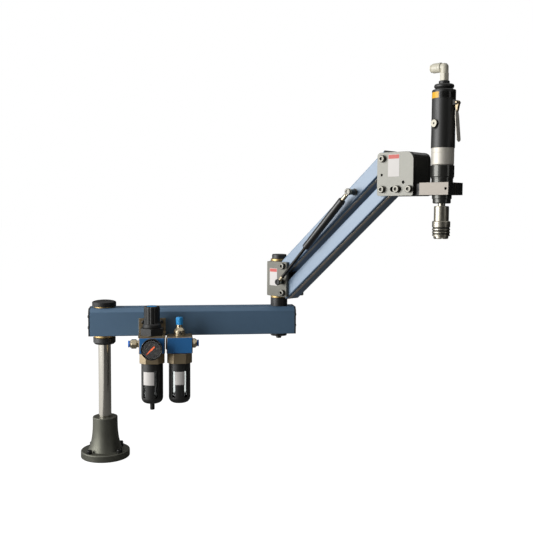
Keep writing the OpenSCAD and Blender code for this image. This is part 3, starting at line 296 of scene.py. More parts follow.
def courses(rows, t):
    """Rings through the angles t: a row is a radius and a height, each one value or one for each angle."""
    return np.stack([np.stack([r * np.cos(t), r * np.sin(t), z * np.ones_like(t)], -1) for r, z in rows])


def wrapped(first, last, inner, outer, low, high, points):
    """Rings of a thin card bent round the local z axis between two angles in degrees."""
    rows = ((inner, low), (outer, low), (outer, high), (inner, high))
    return np.transpose(courses(rows, np.radians(np.linspace(first, last, points))), (1, 0, 2))


def outward(outline):
    """Unit normals of a closed outline, from the chord between each point's two neighbours."""
    d = np.roll(outline, -1, 0) - np.roll(outline, 1, 0)
    n = np.stack([d[:, 1], -d[:, 0]], -1)
    n /= np.maximum(np.linalg.norm(n, axis=1, keepdims=True), 1e-9)
    area = np.sum(outline[:, 0] * np.roll(outline[:, 1], -1) - outline[:, 1] * np.roll(outline[:, 0], -1))
    return n if area > 0 else -n


def slab(outline, low, high, edge, steps=3):
    """Rings of a plate: the outline is carried from low to high on local z, and drawn in at both
    faces by a quarter circle of radius edge."""
    n = outward(outline)
    a = np.linspace(0, np.pi / 2, steps + 1)
    inset = np.concatenate([edge * (1 - np.sin(a)), edge * (1 - np.sin(a))[::-1]])
    height = np.concatenate([low + edge * (1 - np.cos(a)), high - edge * (1 - np.cos(a))[::-1]])
    flat = outline[None] - n[None] * inset[:, None, None]
    return np.concatenate([flat, np.broadcast_to(height[:, None, None], flat.shape[:2] + (1,))], -1)


def box_outline(w, h, radius, steps=5, cx=0.0, cy=0.0):
    """A rectangle w by h with round corners, centred at cx, cy; radius is one value or four,
    from the lower left corner anticlockwise."""
    r = radius if isinstance(radius, tuple) else (radius,) * 4
    x, y = w / 2, h / 2
    pts = [(cx - x, cy - y, r[0]), (cx + x, cy - y, r[1]), (cx + x, cy + y, r[2]), (cx - x, cy + y, r[3])]
    return soften(pts, 0, steps, closed=True)


def hex_radius(flats, t):
    """Radius of a hexagon at the angles t: half its width across flats, over the cosine of the angle
    from the middle of the nearest flat."""
    return flats / 2 / np.cos((t % (np.pi / 3)) - np.pi / 6)


def hexagon(flats, beyond=0.0):
    """Radius rule that holds what lies beyond a radius inside a hexagon: the lesser of the two radii."""
    return lambda r, t: np.where(r > beyond, np.minimum(r, hex_radius(flats, t)), r)


def strip(path, width, thick, across, points):
    """Rings of a bent strip. path holds points, width one value each; across is the direction of
    its width. A ring is a rounded rectangle across the path: the fourth-power oval
    cos^(1/2), sin^(1/2)."""
    d = np.gradient(path, axis=0)
    d /= np.linalg.norm(d, axis=1, keepdims=True)
    up = np.cross(d, across)
    up /= np.linalg.norm(up, axis=1, keepdims=True)
    t = np.linspace(0, 2 * np.pi, points, endpoint=False) + np.pi / points
    a = np.sign(np.cos(t)) * np.abs(np.cos(t)) ** 0.5
    b = np.sign(np.sin(t)) * np.abs(np.sin(t)) ** 0.5
    return (path[:, None] + across[None, None] * (width[:, None] / 2 * a)[..., None]
            + up[:, None] * (thick / 2 * b)[None, :, None])


class Build:
    """Gathers shapes into one mesh, each through its own place."""

    def __init__(self):
        self.points, self.faces, self.count = [], [], 0

    def add(self, points, faces, place=None):
        """Adds points, an array of x, y, z, and the faces between them."""
        self.points.append(points if place is None else carry(place, points))
        self.faces += [[k + self.count for k in face] for face in faces]
        self.count += len(points)
        return self

    def rings(self, grid, place=None, loop=False, ends=True):
        """Adds rings joined side by side; loop joins the last ring to the first, and ends closes both."""
        rows, cols = grid.shape[:2]
        k = np.arange(rows * cols).reshape(rows, cols)
        side = np.concatenate([k, k[:1]]) if loop else k
        a, b = side[:-1], side[1:]
        faces = np.stack([a, np.roll(a, -1, 1), np.roll(b, -1, 1), b], -1).reshape(-1, 4).tolist()
        if ends and not loop:
            faces += [k[0].tolist(), k[-1].tolist()]
        return self.add(grid.reshape(-1, 3), faces, place)

    def turn(self, profile, place=None, points=96, soft=0.3, steps=3, rule=None):
        """Adds a turned solid whose profile starts and ends on the axis."""
        return self.rings(spun(soften(profile, soft, steps), points, rule), place, ends=False)

    def hoop(self, section, place=None, points=96, soft=0.3):
        """Adds a turned ring whose section is a closed outline beside the axis."""
        return self.rings(spun(soften(section, soft, 3, True), points), place, loop=True)

    def band(self, place, inner, outer, low, high, edge=0.6, points=96):
        """Adds a turned ring with a rectangular section."""
        return self.hoop([(inner, low), (outer, low), (outer, high), (inner, high)], place, points, edge)

    def plate(self, outline, low, high, edge, place=None, steps=3):
        """Adds a plate with its edges rounded."""
        return self.rings(slab(outline, low, high, edge, steps), place)

    def piece(self, name, body, coat, stands_for=None, sharp=32):
        """Makes the object: it merges doubles and turns faces outwards."""
        mesh = bpy.data.meshes.new(name)
        mesh.from_pydata((np.concatenate(self.points) * 0.001).tolist(), [], self.faces)
        bm = bmesh.new()
        bm.from_mesh(mesh)
        bmesh.ops.remove_doubles(bm, verts=bm.verts, dist=2e-6)
        bmesh.ops.recalc_face_normals(bm, faces=bm.faces)
        bm.to_mesh(mesh)
        bm.free()
        return finish_piece(name, mesh, body, coat, stands_for, sharp)


def finish_piece(name, mesh, body, coat, stands_for=None, sharp=32):
    """Shades, paints and links a mesh, and makes it ride on its body in place of a CAD node."""
    if not len(mesh.polygons):
        raise RuntimeError(name + " came out empty")
    mesh.shade_smooth()
    mesh.set_sharp_from_angle(angle=math.radians(sharp))
    mesh.materials.append(coat)
    obj = bpy.data.objects.new(name, mesh)
    bpy.context.scene.collection.objects.link(obj)
    obj.modifiers.new("even_faces", "WEIGHTED_NORMAL").keep_sharp = True
    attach(obj, body)
    if stands_for:
        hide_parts(stands_for)
    return obj


def dressed(node, name, body, coat, edge):
    """A merged copy of a CAD node with its flat faces joined and its edges rounded."""
    bm = bmesh.new()
    bm.from_mesh(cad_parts[node].data)
    bmesh.ops.remove_doubles(bm, verts=bm.verts, dist=2e-6)
    bmesh.ops.dissolve_limit(bm, angle_limit=math.radians(0.6), verts=bm.verts, edges=bm.edges)
    mesh = bpy.data.meshes.new(name)
    bm.to_mesh(mesh)
    bm.free()
    obj = finish_piece(name, mesh, body, coat, node)
    round_off = obj.modifiers.new("round_edges", "BEVEL")
    round_off.width = edge * 0.001
    round_off.segments = 3
    round_off.limit_method = "ANGLE"
    round_off.angle_limit = math.radians(35)
    obj.modifiers.move(1, 0)
    return obj


def bored(obj, bore):
    """Cuts the closed shape of a Build out of a finished piece, for good."""
    tool = bore.piece("bore", "head", obj.data.materials[0])
    cut = obj.modifiers.new("bore", "BOOLEAN")
    cut.object, cut.solver = tool, "EXACT"
    obj.modifiers.move(1, 0)
    obj.modifiers.active = cut
    with bpy.context.temp_override(object=obj, active_object=obj, selected_objects=[obj]):
        bpy.ops.object.modifier_apply(modifier=cut.name)
    bpy.data.objects.remove(tool)
    obj.data.set_sharp_from_angle(angle=math.radians(38))


def face_finish_over_painted_shade(obj, m, coat, side, beyond=0.0):
    """Gives the faces that look out of the arm's near side (-1) or far side (1) a second finish, where they lie
    beyond a distance from the elbow axis; the black first finish left on the rims and ends is painted shade."""
    back = np.linalg.inv(m.elbow)
    obj.data.materials.append(coat)
    for poly in obj.data.polygons:
        u = carry(back, np.array(poly.center)[None] * 1000)[0, 0]
        if side * (back[:3, :3] @ np.array(poly.normal))[1] > 0.7 and u > beyond:
            poly.material_index = 1


def cap_screw(build, place, knurl, d=SCREW_HEAD, h=SCREW_HIGH, flats=SCREW_FLATS, shank=0.0, shank_d=SCREW_SHANK):
    """A socket cap screw standing on local z = 0, with a knurled side, a chamfered rim and a hexagon
    socket; the side's radius waves by the knurl depth 36 times round."""
    t = np.linspace(0, 2 * np.pi, 144, endpoint=False)
    socket, r = hex_radius(flats, t), d / 2
    side = r - knurl * (0.5 - 0.5 * np.cos(36 * t))
    rows = [(0, 0), (r - 0.5, 0), (r - knurl, 0.5), (side, 0.9), (side, h - 1.5), (r - knurl, h - 1.1),
            (r - 0.7, h - 0.25), (r - 1.5, h), (socket + 0.5, h), (socket + 0.1, h - 0.2), (socket, h - 0.6),
            (socket * 0.98, h * 0.42), (0, h * 0.36)]
    build.rings(courses(rows, t), place, ends=False)
    if shank:
        r = shank_d / 2
        build.rings(spun([(r, 0.2), (r, -shank + 0.8), (r - 0.8, -shank)], 48), place)


def button_head(build, place):
    """A low domed screw head with a hexagon socket: the dome falls as a quarter ellipse."""
    r, h, rim = 5.0, 2.6, 0.3
    t = np.linspace(0, 2 * np.pi, 96, endpoint=False)
    socket = hex_radius(4.5, t)
    rows = [(0, 0), (r, rim)] + [(r * math.cos(a), h * math.sin(a)) for a in np.linspace(0, 0.95, 6)[1:]]
    rows += [(socket + 0.25, h), (socket, h - 0.3), (socket, h * 0.45), (0, h * 0.4)]
    build.rings(courses(rows, t), place, ends=False)


# ---------------------------------------------------------------- finishes


COATS = {}


def coat(name, rgb, metal=0.0, rough=0.5, grain=0.0, size=900.0, stretch=(1, 1, 1), blotch=0.06, blotch_size=18.0,
         rough_play=0.08, see_through=0.0, sheen_level=None):
    """A finish worked out from two noises on object coordinates: a large one shades the colour, and a
    fine one, stretched along the tool marks, changes the gloss and raises the surface by grain
    thousandths of a millimetre."""
    if name in COATS:
        return COATS[name]
    mat = bpy.data.materials.new(name)
    mat.use_nodes = True
    node, link = mat.node_tree.nodes.new, mat.node_tree.links.new
    shader = mat.node_tree.nodes["Principled BSDF"]
    place = node("ShaderNodeTexCoord")
    scale = node("ShaderNodeMapping")
    scale.inputs["Scale"].default_value = stretch
    link(place.outputs["Object"], scale.inputs["Vector"])
    large = node("ShaderNodeTexNoise")
    large.inputs["Scale"].default_value = blotch_size
    large.inputs["Detail"].default_value = 5.0
    link(place.outputs["Object"], large.inputs["Vector"])
    fine = node("ShaderNodeTexNoise")
    fine.inputs["Scale"].default_value = size
    fine.inputs["Detail"].default_value = 4.0
    link(scale.outputs["Vector"], fine.inputs["Vector"])
    shade = node("ShaderNodeMix")
    shade.data_type = "RGBA"
    shade.inputs["A"].default_value = (*[c * (1 - blotch) for c in rgb], 1)
    shade.inputs["B"].default_value = (*[min(c * (1 + blotch), 1) for c in rgb], 1)
    link(large.outputs["Fac"], shade.inputs["Factor"])
    link(shade.outputs["Result"], shader.inputs["Base Color"])
    gloss = node("ShaderNodeMapRange")
    for socket, value in (("From Min", 0.3), ("From Max", 0.7), ("To Min", max(rough - rough_play, 0.02)),
                          ("To Max", rough + rough_play)):
        gloss.inputs[socket].default_value = value
    link(fine.outputs["Fac"], gloss.inputs["Value"])
    link(gloss.outputs["Result"], shader.inputs["Roughness"])
    if grain:
        bump = node("ShaderNodeBump")
        bump.inputs["Strength"].default_value = 0.6
        bump.inputs["Distance"].default_value = grain * 1e-6
        link(fine.outputs["Fac"], bump.inputs["Height"])
        link(bump.outputs["Normal"], shader.inputs["Normal"])
    shader.inputs["Metallic"].default_value = metal
    if see_through:
        shader.inputs["Transmission Weight"].default_value = see_through
        shader.inputs["IOR"].default_value = 1.46
    if sheen_level is not None:
        shader.inputs["Specular IOR Level"].default_value = sheen_level
    COATS[name] = mat
    return mat


def finishes(p):
    """The machine's finishes, by name, from its paints."""
    round_marks, cross_marks, long_marks = (0.15, 0.15, 9), (0.2, 0.2, 9), (6, 6, 0.2)
    # The last of these colours is for the bright strips under the link beams: painted highlight
    turned, blued, core, seam = ([c * k for c in rgb] for rgb, k in
                                 ((p.steel, 1.25), (p.black, 6), (p.black, 3), (p.bracket, 2.8)))
    return {
        "casting": coat("painted_casting", p.casting, 0.8, 0.5, 120, 420, blotch=0.16, blotch_size=40),
        "tube": coat("blue_powder_coat", p.tube, 0.0, 0.45, 30, 1500, blotch=0.05),
        # Lighter than the level arm's blue, standing in for light on the beams' near faces: painted light
        "beam": coat("link_powder_coat", p.beam, 0.0, 0.42, 30, 1500, blotch=0.04, sheen_level=0.9),
        "head": coat("satin_grey_plate", p.head, 0.12, 0.42, 25, 700, blotch=0.05, blotch_size=30),
        "elbow": coat("satin_elbow_grey", p.elbow, 0.1, 0.45, 35, 700, blotch=0.08, blotch_size=30),
        "bracket": coat("milled_bracket", p.bracket, 0.12, 0.4, 18, 500, (1, 1, 9)),
        "turned": coat("turned_steel", turned, 0.5, 0.56, 5, 260, round_marks, 0.05),
        "chuck": coat("hardened_steel", p.chuck, 0.9, 0.34, 1, 260, round_marks, 0.04, rough_play=0.03),
        "ground": coat("ground_post", p.steel, 1.0, 0.15, 0.6, 260, long_marks, 0.03, 8, 0.02),
        "screw": coat("dark_screws", p.dark_steel, 0.9, 0.33, 8, blotch=0.15, blotch_size=90),
        "core": coat("core_black_satin", core, 0.2, 0.3, 15, 700),
        "ring_black": coat("blued_ring", blued, 0.6, 0.2, 4, 260, cross_marks, 0.08, rough_play=0.04),
        "black": coat("black_oxide", p.black, 0.4, 0.4, 20, blotch=0.15),
        "satin_black": coat("satin_black_paint", p.black, 0.0, 0.42, 35, 1200, blotch=0.1),
        "dull_black": coat("dull_black_paint", p.black, 0.0, 0.5, 35, 1200, blotch=0.1, sheen_level=0.3),
        "gloss_black": coat("gloss_black_lacquer", p.black, 0.0, 0.2, 6, 400, blotch=0.05, rough_play=0.04),
        "plastic": coat("black_moulding", p.black, 0.0, 0.45, 60, 1600, blotch=0.1, sheen_level=0.32),
        "bronze": coat("turned_bronze", p.bronze, 1.0, 0.4, 8, 260, cross_marks, 0.1),
        "zinc": coat("plated_zinc_casting", p.zinc, 0.6, 0.42, 50, 700, blotch=0.1, blotch_size=45),
        "nickel": coat("nickel_plate", p.nickel, 1.0, 0.28, 5, 400),
        "blue_plate": coat("blue_face_plate", p.blue_plate, 0.0, 0.4, 14),
        "bright_blue": coat("bright_blue_ring", p.bright_blue, 0.0, 0.35, 10, blotch=0.05),
        "sky_blue": coat("sky_blue_cap", p.sky_blue, 0.0, 0.35, 12),
        "cream": coat("cream_moulding", p.cream, 0.0, 0.38, 14, 800, blotch=0.05),
        "orange": coat("orange_needle_paint", p.orange, 0.0, 0.4, 4, blotch=0.03),
        "yellow": coat("yellow_block", p.yellow, 0.0, 0.4, 4, blotch=0.05),
        "paper": coat("plain_label", p.paper, 0.0, 0.5, 4, blotch=0.04),
        "red": coat("label_band", p.red, 0.0, 0.5, 4, blotch=0.05),
        "white": coat("dial_white", (0.13, 0.13, 0.1), 0.0, 0.6, 2, blotch=0.02),
        "dial": coat("dial_black", (0.006,) * 3, 0.0, 0.8, 4, blotch=0.05, sheen_level=0.05),
        "lens": coat("clear_lens", (1, 1, 1), 0.0, 0.03, size=300, blotch=0.0, rough_play=0.01, see_through=1.0),
        "bowl": coat("clear_bowl", (0.9, 0.93, 0.92), 0.0, 0.05, size=300, blotch=0.02, rough_play=0.02,
                     see_through=1.0),
        "chrome": coat("dark_rod", (0.03, 0.03, 0.029), 1.0, 0.3, 2, 300, blotch=0.03, rough_play=0.04),
        # Bright metal of the strips under the link beams: painted highlight
        "seam": coat("painted_highlight_line", seam, 1.0, 0.34, 6, 400, blotch=0.1),
        "champagne": coat("warm_zinc_sheet", p.zinc, 0.7, 0.36, 8, 500, blotch=0.12, blotch_size=50),
    }


def paint(node, material):
    """Gives a CAD node that is kept as it is its finish."""
    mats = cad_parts[node].data.materials
    mats.clear()
    mats.append(material)


# ---------------------------------------------------------------- pieces


def build_base(m, f):
    """Base casting, its bench screws, the post, the stop collar and the domed cap."""
    dressed("base_casting", "base_flange_casting", "base", f["casting"], 1.0)
    screws = Build()
    for k in range(4):
        t = math.radians(45 + 90 * k)
        cap_screw(screws, move(52 * math.cos(t), 52 * math.sin(t), 18.2) @ turn_z(t), m.tool_knurl, 13, 8, 6.5)
    screws.piece("bench_screws", "base", f["black"])
    r, (z0, z1) = node_radius("post"), node_heights("post")
    Build().turn([(0, z0), (r, z0, 0.5), (r, z1, 1.0), (0, z1)], soft=1, steps=4) \
        .piece("ground_post_shaft", "base", f["ground"], "post")
    wide, (z0, z1) = node_radius("stop_collar"), node_heights("stop_collar")
    Build().hoop([(r, z0), (wide - 4, z0), (wide, z0 + 4.5), (wide, z1), (r, z1)], soft=0.9) \
        .piece("stop_collar_ring", "base", f["satin_black"], "stop_collar")
    wide, (z0, z1) = node_radius("top_cap"), node_heights("top_cap")
    rim = 10  # height of the cap's straight side
    dome = [(wide * math.cos(a), z0 + rim + (z1 - z0 - rim) * math.sin(a)) for a in np.linspace(0, np.pi / 2, 14)]
    profile = np.concatenate([[(0, z0 + 7), (r, z0 + 7), (r, z0)],
                              soften([(r + 0.1, z0), (wide, z0), (wide, z0 + rim)], 1.2, 3), dome])
    Build().rings(spun(profile, 96), ends=False) \
        .piece("domed_top_cap", "base", f["dull_black"], "top_cap", sharp=40)


def build_level_arm(m, f):
    """Square tube, end plates with screws, post bushes and what stands at the elbow end."""
    body, w, k = "level_arm", TUBE_HALF, m.arm_tube_corner
    low, high = node_box("arm_tube")
    mid = (low[2] + high[2]) / 2
    flank, bevel = w - 9.0, 1.6  # where the two upper chamfers start, and their rounding
    outline = soften([(-w, -w, k), (w, -w, k), (w, flank, bevel), (flank, w, bevel), (-flank, w, bevel),
                      (-w, flank, bevel)], 1, 4, True)
    lying = move(0, 0, mid) @ ALONG
    Build().plate(outline, low[0], high[0], 0.4, lying).piece("level_tube", body, f["tube"], "arm_tube", sharp=28)
    left, right = node_box("end_plates")
    Build().plate(outline, left[0], low[0], 0.8, lying).plate(outline, high[0], right[0], 0.8, lying) \
        .piece("tube_end_plates", body, f["satin_black"], "end_plates")
    screws = Build()
    for y in (-22, 22):
        for z in (-14, 14):
            button_head(screws, move(right[0], y, mid + z) @ ALONG)
            button_head(screws, move(left[0], y, mid + z) @ AGAINST)
    for x in (-22.4, 22.4):
        button_head(screws, move(m.air_regulator_x + x, -w - BRACKET_THICK, BRACKET_SCREW_Z) @ FACING)
    screws.piece("button_screws", body, f["black"], "arm_screws")
    bottom, top = node_heights("post_bushes")
    rings = Build()
    for outer, z0, z1, edge in ((26.2, bottom, low[2], 0.9), (26.2, high[2], top, 0.6),
                                (20.0, low[2], low[2] + 22, 0.4), (20.0, high[2] - 22, high[2], 0.4)):
        rings.band(None, POST_BORE, outer, z0, z1, edge)
    rings.piece("post_bush_rings", body, f["bronze"], "post_bushes")
    elbow = move(m.arm_reach)
    Build().band(elbow, 13, 22, *node_heights("elbow_sleeve"), 0.9) \
        .piece("spacer_sleeve", body, f["satin_black"], "elbow_sleeve")
    r, (z0, z1) = node_radius("elbow_cap"), node_heights("elbow_cap")
    cap = [(0, z0), (r, z0, 0.8), (r, z1, 5.0), (r - 7, z1, 2), (r - 7.6, z1 - 0.6, 0.4), (0, z1 - 0.6)]
    Build().turn(cap, elbow, soft=1, steps=6) \
        .piece("round_elbow_cap", body, f["satin_black"], "elbow_cap", sharp=40)
    under, over = node_heights("foot_washer")
    Build().band(elbow, 4.0, node_radius("foot_washer"), under, over, 1.0) \
        .piece("large_washer", body, f["satin_black"], "foot_washer")
    z0, z1 = node_heights("foot_bolt")
    head = [(0, z0), (5.6, z0, 0.4), (7.0, z0 + 1.3, 0.3), (7.0, under - 0.3, 0.3), (6, under), (0, under)]
    bolt = Build().turn(head, elbow, rule=hexagon(12.12))
    bolt.rings(spun([(4, under - 0.1), (4, z1 - 0.6), (3.4, z1)], 32), elbow)
    bolt.piece("foot_hexagon_screw", body, f["screw"], "foot_bolt")
    paint("elbow_spindle", f["turned"])


def build_elbow(m, f):
    """Elbow block, bush rings, side plates, pivot screws and the plain label."""
    z0, z1 = node_heights("elbow_block")
    arc = [(24.5 * math.cos(a), 24.5 * math.sin(a)) for a in np.linspace(np.pi / 2, 3 * np.pi / 2, 40)]
    flat_end = [(20.0, -25.0), (21.4, -24.6), (22.0, -23.5), (22.0, 23.5), (21.4, 24.6), (20.0, 25.0)]
    Build().plate(np.array(arc + flat_end), z0, z1, 0.8, m.elbow) \
        .piece("elbow_block_casting", "elbow", f["elbow"], "elbow_block")
    Build().band(m.elbow, SPINDLE_BORE, 22, z0 - 6.5, z0, 0.7).band(m.elbow, SPINDLE_BORE, 22, z1, z1 + 5.5, 0.7) \
        .piece("elbow_bush_rings", "elbow", f["bronze"], "elbow_bushes")
    face = box_outline(69, z1 - z0, 3.2, cx=22.5)
    for side, v in (("near", ELBOW_PLATE - ELBOW_SIDE), ("far", ELBOW_SIDE)):
        Build().plate(face, 0, ELBOW_PLATE, 0.8, m.beside(0, v, (z0 + z1) / 2)) \
            .piece("elbow_side_plate_" + side, "elbow", f["elbow"], "elbow_" + side + "_plate")
    screws = Build()
    for z in (m.arm_low_pivot, m.arm_high_pivot):
        cap_screw(screws, m.beside(m.arm_pivot, -ELBOW_SIDE, z), m.tool_knurl, shank=66.2)
    screws.piece("elbow_pivot_screws", "elbow", f["screw"], "elbow_pivot_bolts")
    label(f, "elbow", m.beside(11.2, -ELBOW_SIDE, ELBOW_LABEL_Z), m.arm_label_w, 44, 8)


def label(f, body, at, w, h, band):
    """A plain label on a near side plate: a thin card with a coloured band along its top."""
    Build().plate(box_outline(w, h, 0.8, 2), 0, 0.22, 0.05, at, 1).piece(body + "_label_card", body, f["paper"])
    stripe = box_outline(w - 1.6, band, 0.3, 2, cy=h / 2 - band / 2 - 0.8)
    Build().plate(stripe, 0.2, 0.3, 0.03, at, 1).piece(body + "_label_band", body, f["red"])


def build_links(m, f):
    """Upper and lower link beams with their end caps, and a bright strip under each that is a painted highlight."""
    outline = box_outline(BEAM_WIDE, BEAM_HIGH, m.arm_beam_corner, cy=2)
    # A bright metal strip along each beam's lower face stands in for the highlight on its rounded corner: painted
    # highlight
    seam = box_outline(9.0, 1.2, 0.5, 3, cx=-11, cy=-14.1)
    low, high = -BEAM_PAST, m.arm_link + BEAM_PAST
    for name, place in (("upper", m.high_beam), ("lower", m.low_beam)):
        at, body = place @ ALONG, name + "_link"
        Build().plate(outline, low, high, 0.3, at).piece(body + "_beam", body, f["beam"], name + "_beam", sharp=28)
        Build().plate(seam, low + 0.5, high - 0.5, 0.2, at).piece(body + "_seam", body, f["seam"])
        Build().plate(outline, low - 3, low, 0.9, at).plate(outline, high, high + 3, 0.9, at) \
            .piece(body + "_end_caps", body, f["plastic"], name + "_beam_caps")


def build_spring(m, f):
    """Gas spring: cylinder, rod, eyes and studs."""
    span, r = m.spring_span, m.spring_eye / 2
    low, top = m.spring_foot, m.spring_foot @ move(span)
    along = low @ ALONG
    z1 = span - 26  # upper end of the cylinder, which is 163 long
    z0 = z1 - 163
    tube = [(4.06, z0 + 3), (4.06, z0, 0.3), (7.4, z0, 1.0), (9, z0 + 2.2, 1.2), (9, z1 - 2, 1.2), (7.6, z1, 0.8),
            (5, z1, 0.3), (4.4, z1 + 1)]
    Build().rings(spun(soften(tube, 0.5, 3), 72), along) \
        .piece("gas_cylinder_tube", "gas_cylinder", f["gloss_black"], sharp=30)
    shank = box_outline(6, 8, 0.8, 3)
    neck = [(0, z1 + 0.4), (4.9, z1 + 0.4, 0.3), (4.9, span - 11, 1.2), (3.6, span - 8.6), (0, span - 8.6)]
    Build().band(top @ FACING, 4.05, r, -3, 3, 0.8, 64).turn(neck, along, 48) \
        .plate(shank, span - 10, span - r + 1.2, 0.2, along) \
        .piece("gas_cylinder_eye", "gas_cylinder", f["nickel"], "spring_cylinder")
    Build().turn([(0, 10), (4, 10), (4, z1 - 57), (0, z1 - 56)], along, 48, 0.5) \
        .piece("gas_rod_shaft", "gas_rod", f["chrome"])
    Build().band(low @ FACING, 4.0, r, -3, 3, 0.8, 64).plate(shank, r - 1.2, 10, 0.2, along) \
        .turn([(0, 9), (5, 9), (5, 20), (0, 20)], along, 48, 0.6) \
        .piece("gas_rod_eye", "gas_rod", f["nickel"], "spring_rod")
    side, u, z = -m.spring_side, m.spring_stud_u, m.spring_stud_z
    stud = Build()
    cap_screw(stud, m.beside(u, side - 3, z), m.tool_knurl, h=3.5, flats=8, shank=7, shank_d=8)
    stud.band(m.beside(u, -ELBOW_SIDE - 0.3, z), 4, 6.5, 0, 10.1, 0.5, 64)
    stud.piece("gas_rod_stud", "gas_rod", f["black"], "spring_low_stud")
    u, _, z = carry(np.linalg.inv(m.elbow) @ top, np.zeros((1, 3)))[0]
    stud = Build()
    cap_screw(stud, m.beside(u, side - 3.3, z), m.tool_knurl, h=3.5, flats=8, shank=28.2, shank_d=8)
    spacer = [(4, 0), (8.2, 0), (8.2, 1.6), (6.5, 2.8), (6.5, 18.6), (4, 18.6)]
    stud.hoop(spacer, m.beside(u, -24.5, z), 64, 0.5)
    stud.piece("gas_cylinder_stud", "upper_link", f["screw"], "spring_top_stud")


def build_head(m, f):
    """Head plates, core block, screws, split bracket and the plain label."""
    # The plates' outer faces are grey, and their rims are black, which stands in for the shade on the edges: painted
    # shade
    near = dressed("head_near_plate", "head_plate_near_side", "head", f["dull_black"], 0.9)
    face_finish_over_painted_shade(near, m, f["head"], -1)
    z0, z1 = node_heights("head_near_plate")
    u, plate_end = m.tool_head_u, m.tool_head_u + 81
    face = box_outline(96, z1 - z0, (5, 5, 20, 9), 8, cx=(u - 15 + plate_end) / 2)
    far = Build().plate(face, 0, 9.5, 0.9, m.beside(0, HEAD_SIDE, (z0 + z1) / 2)) \
        .piece("head_plate_far_side", "head", f["dull_black"], "head_far_plate")
    face_finish_over_painted_shade(far, m, f["head"], 1)
    low, high = node_heights("head_core")
    first, last = u + 22.6, plate_end - 0.6
    core = box_outline(last - first, high - low - 0.3, (0.6, 1, 19.5, 4.5), 10, cx=(last + first) / 2)
    Build().plate(core, 0, 50, 0.3, m.beside(0, 25, (low + high) / 2)) \
        .piece("head_core_block", "head", f["core"], "head_core")
    # The split bracket is milled warm grey on its near side; the rest is black, which stands in for the shade on its
    # end and under faces: painted shade
    block = dressed("tool_bracket", "split_tool_bracket", "head", f["satin_black"], 0.6)
    face_finish_over_painted_shade(block, m, f["bracket"], -1, m.tool_axis_u - 38)
    small = Build()
    for along, up, d in ((-2.5, 46.6, 6), (55.5, 29.6, 7)):
        cap_screw(small, m.beside(u + along, -27, z0 + up), 0.0, d - 0.1, 3.5, d * 0.5)
    small.piece("head_set_screws", "head", f["black"])
    screws = Build()
    for along, z in ((0, z1 - 13.9), (0, z0 + 14.6), (40, z0 + 14.6), (72, z0 + 14.6)):
        cap_screw(screws, m.beside(u + along, -HEAD_SIDE, z), m.tool_knurl, shank=69.2)
    screws.turn([(0, 0), (3, 0), (3, 40), (0, 40)], m.beside(m.tool_axis_u + 26.8, 21.2, z0 + 14.25), 48, 0.3, 2)
    screws.piece("head_cap_screws", "head", f["screw"], "head_bolts")
    label(f, "head", m.beside(u + 29.5, -HEAD_SIDE, HEAD_LABEL_Z), 30, 49, 9)


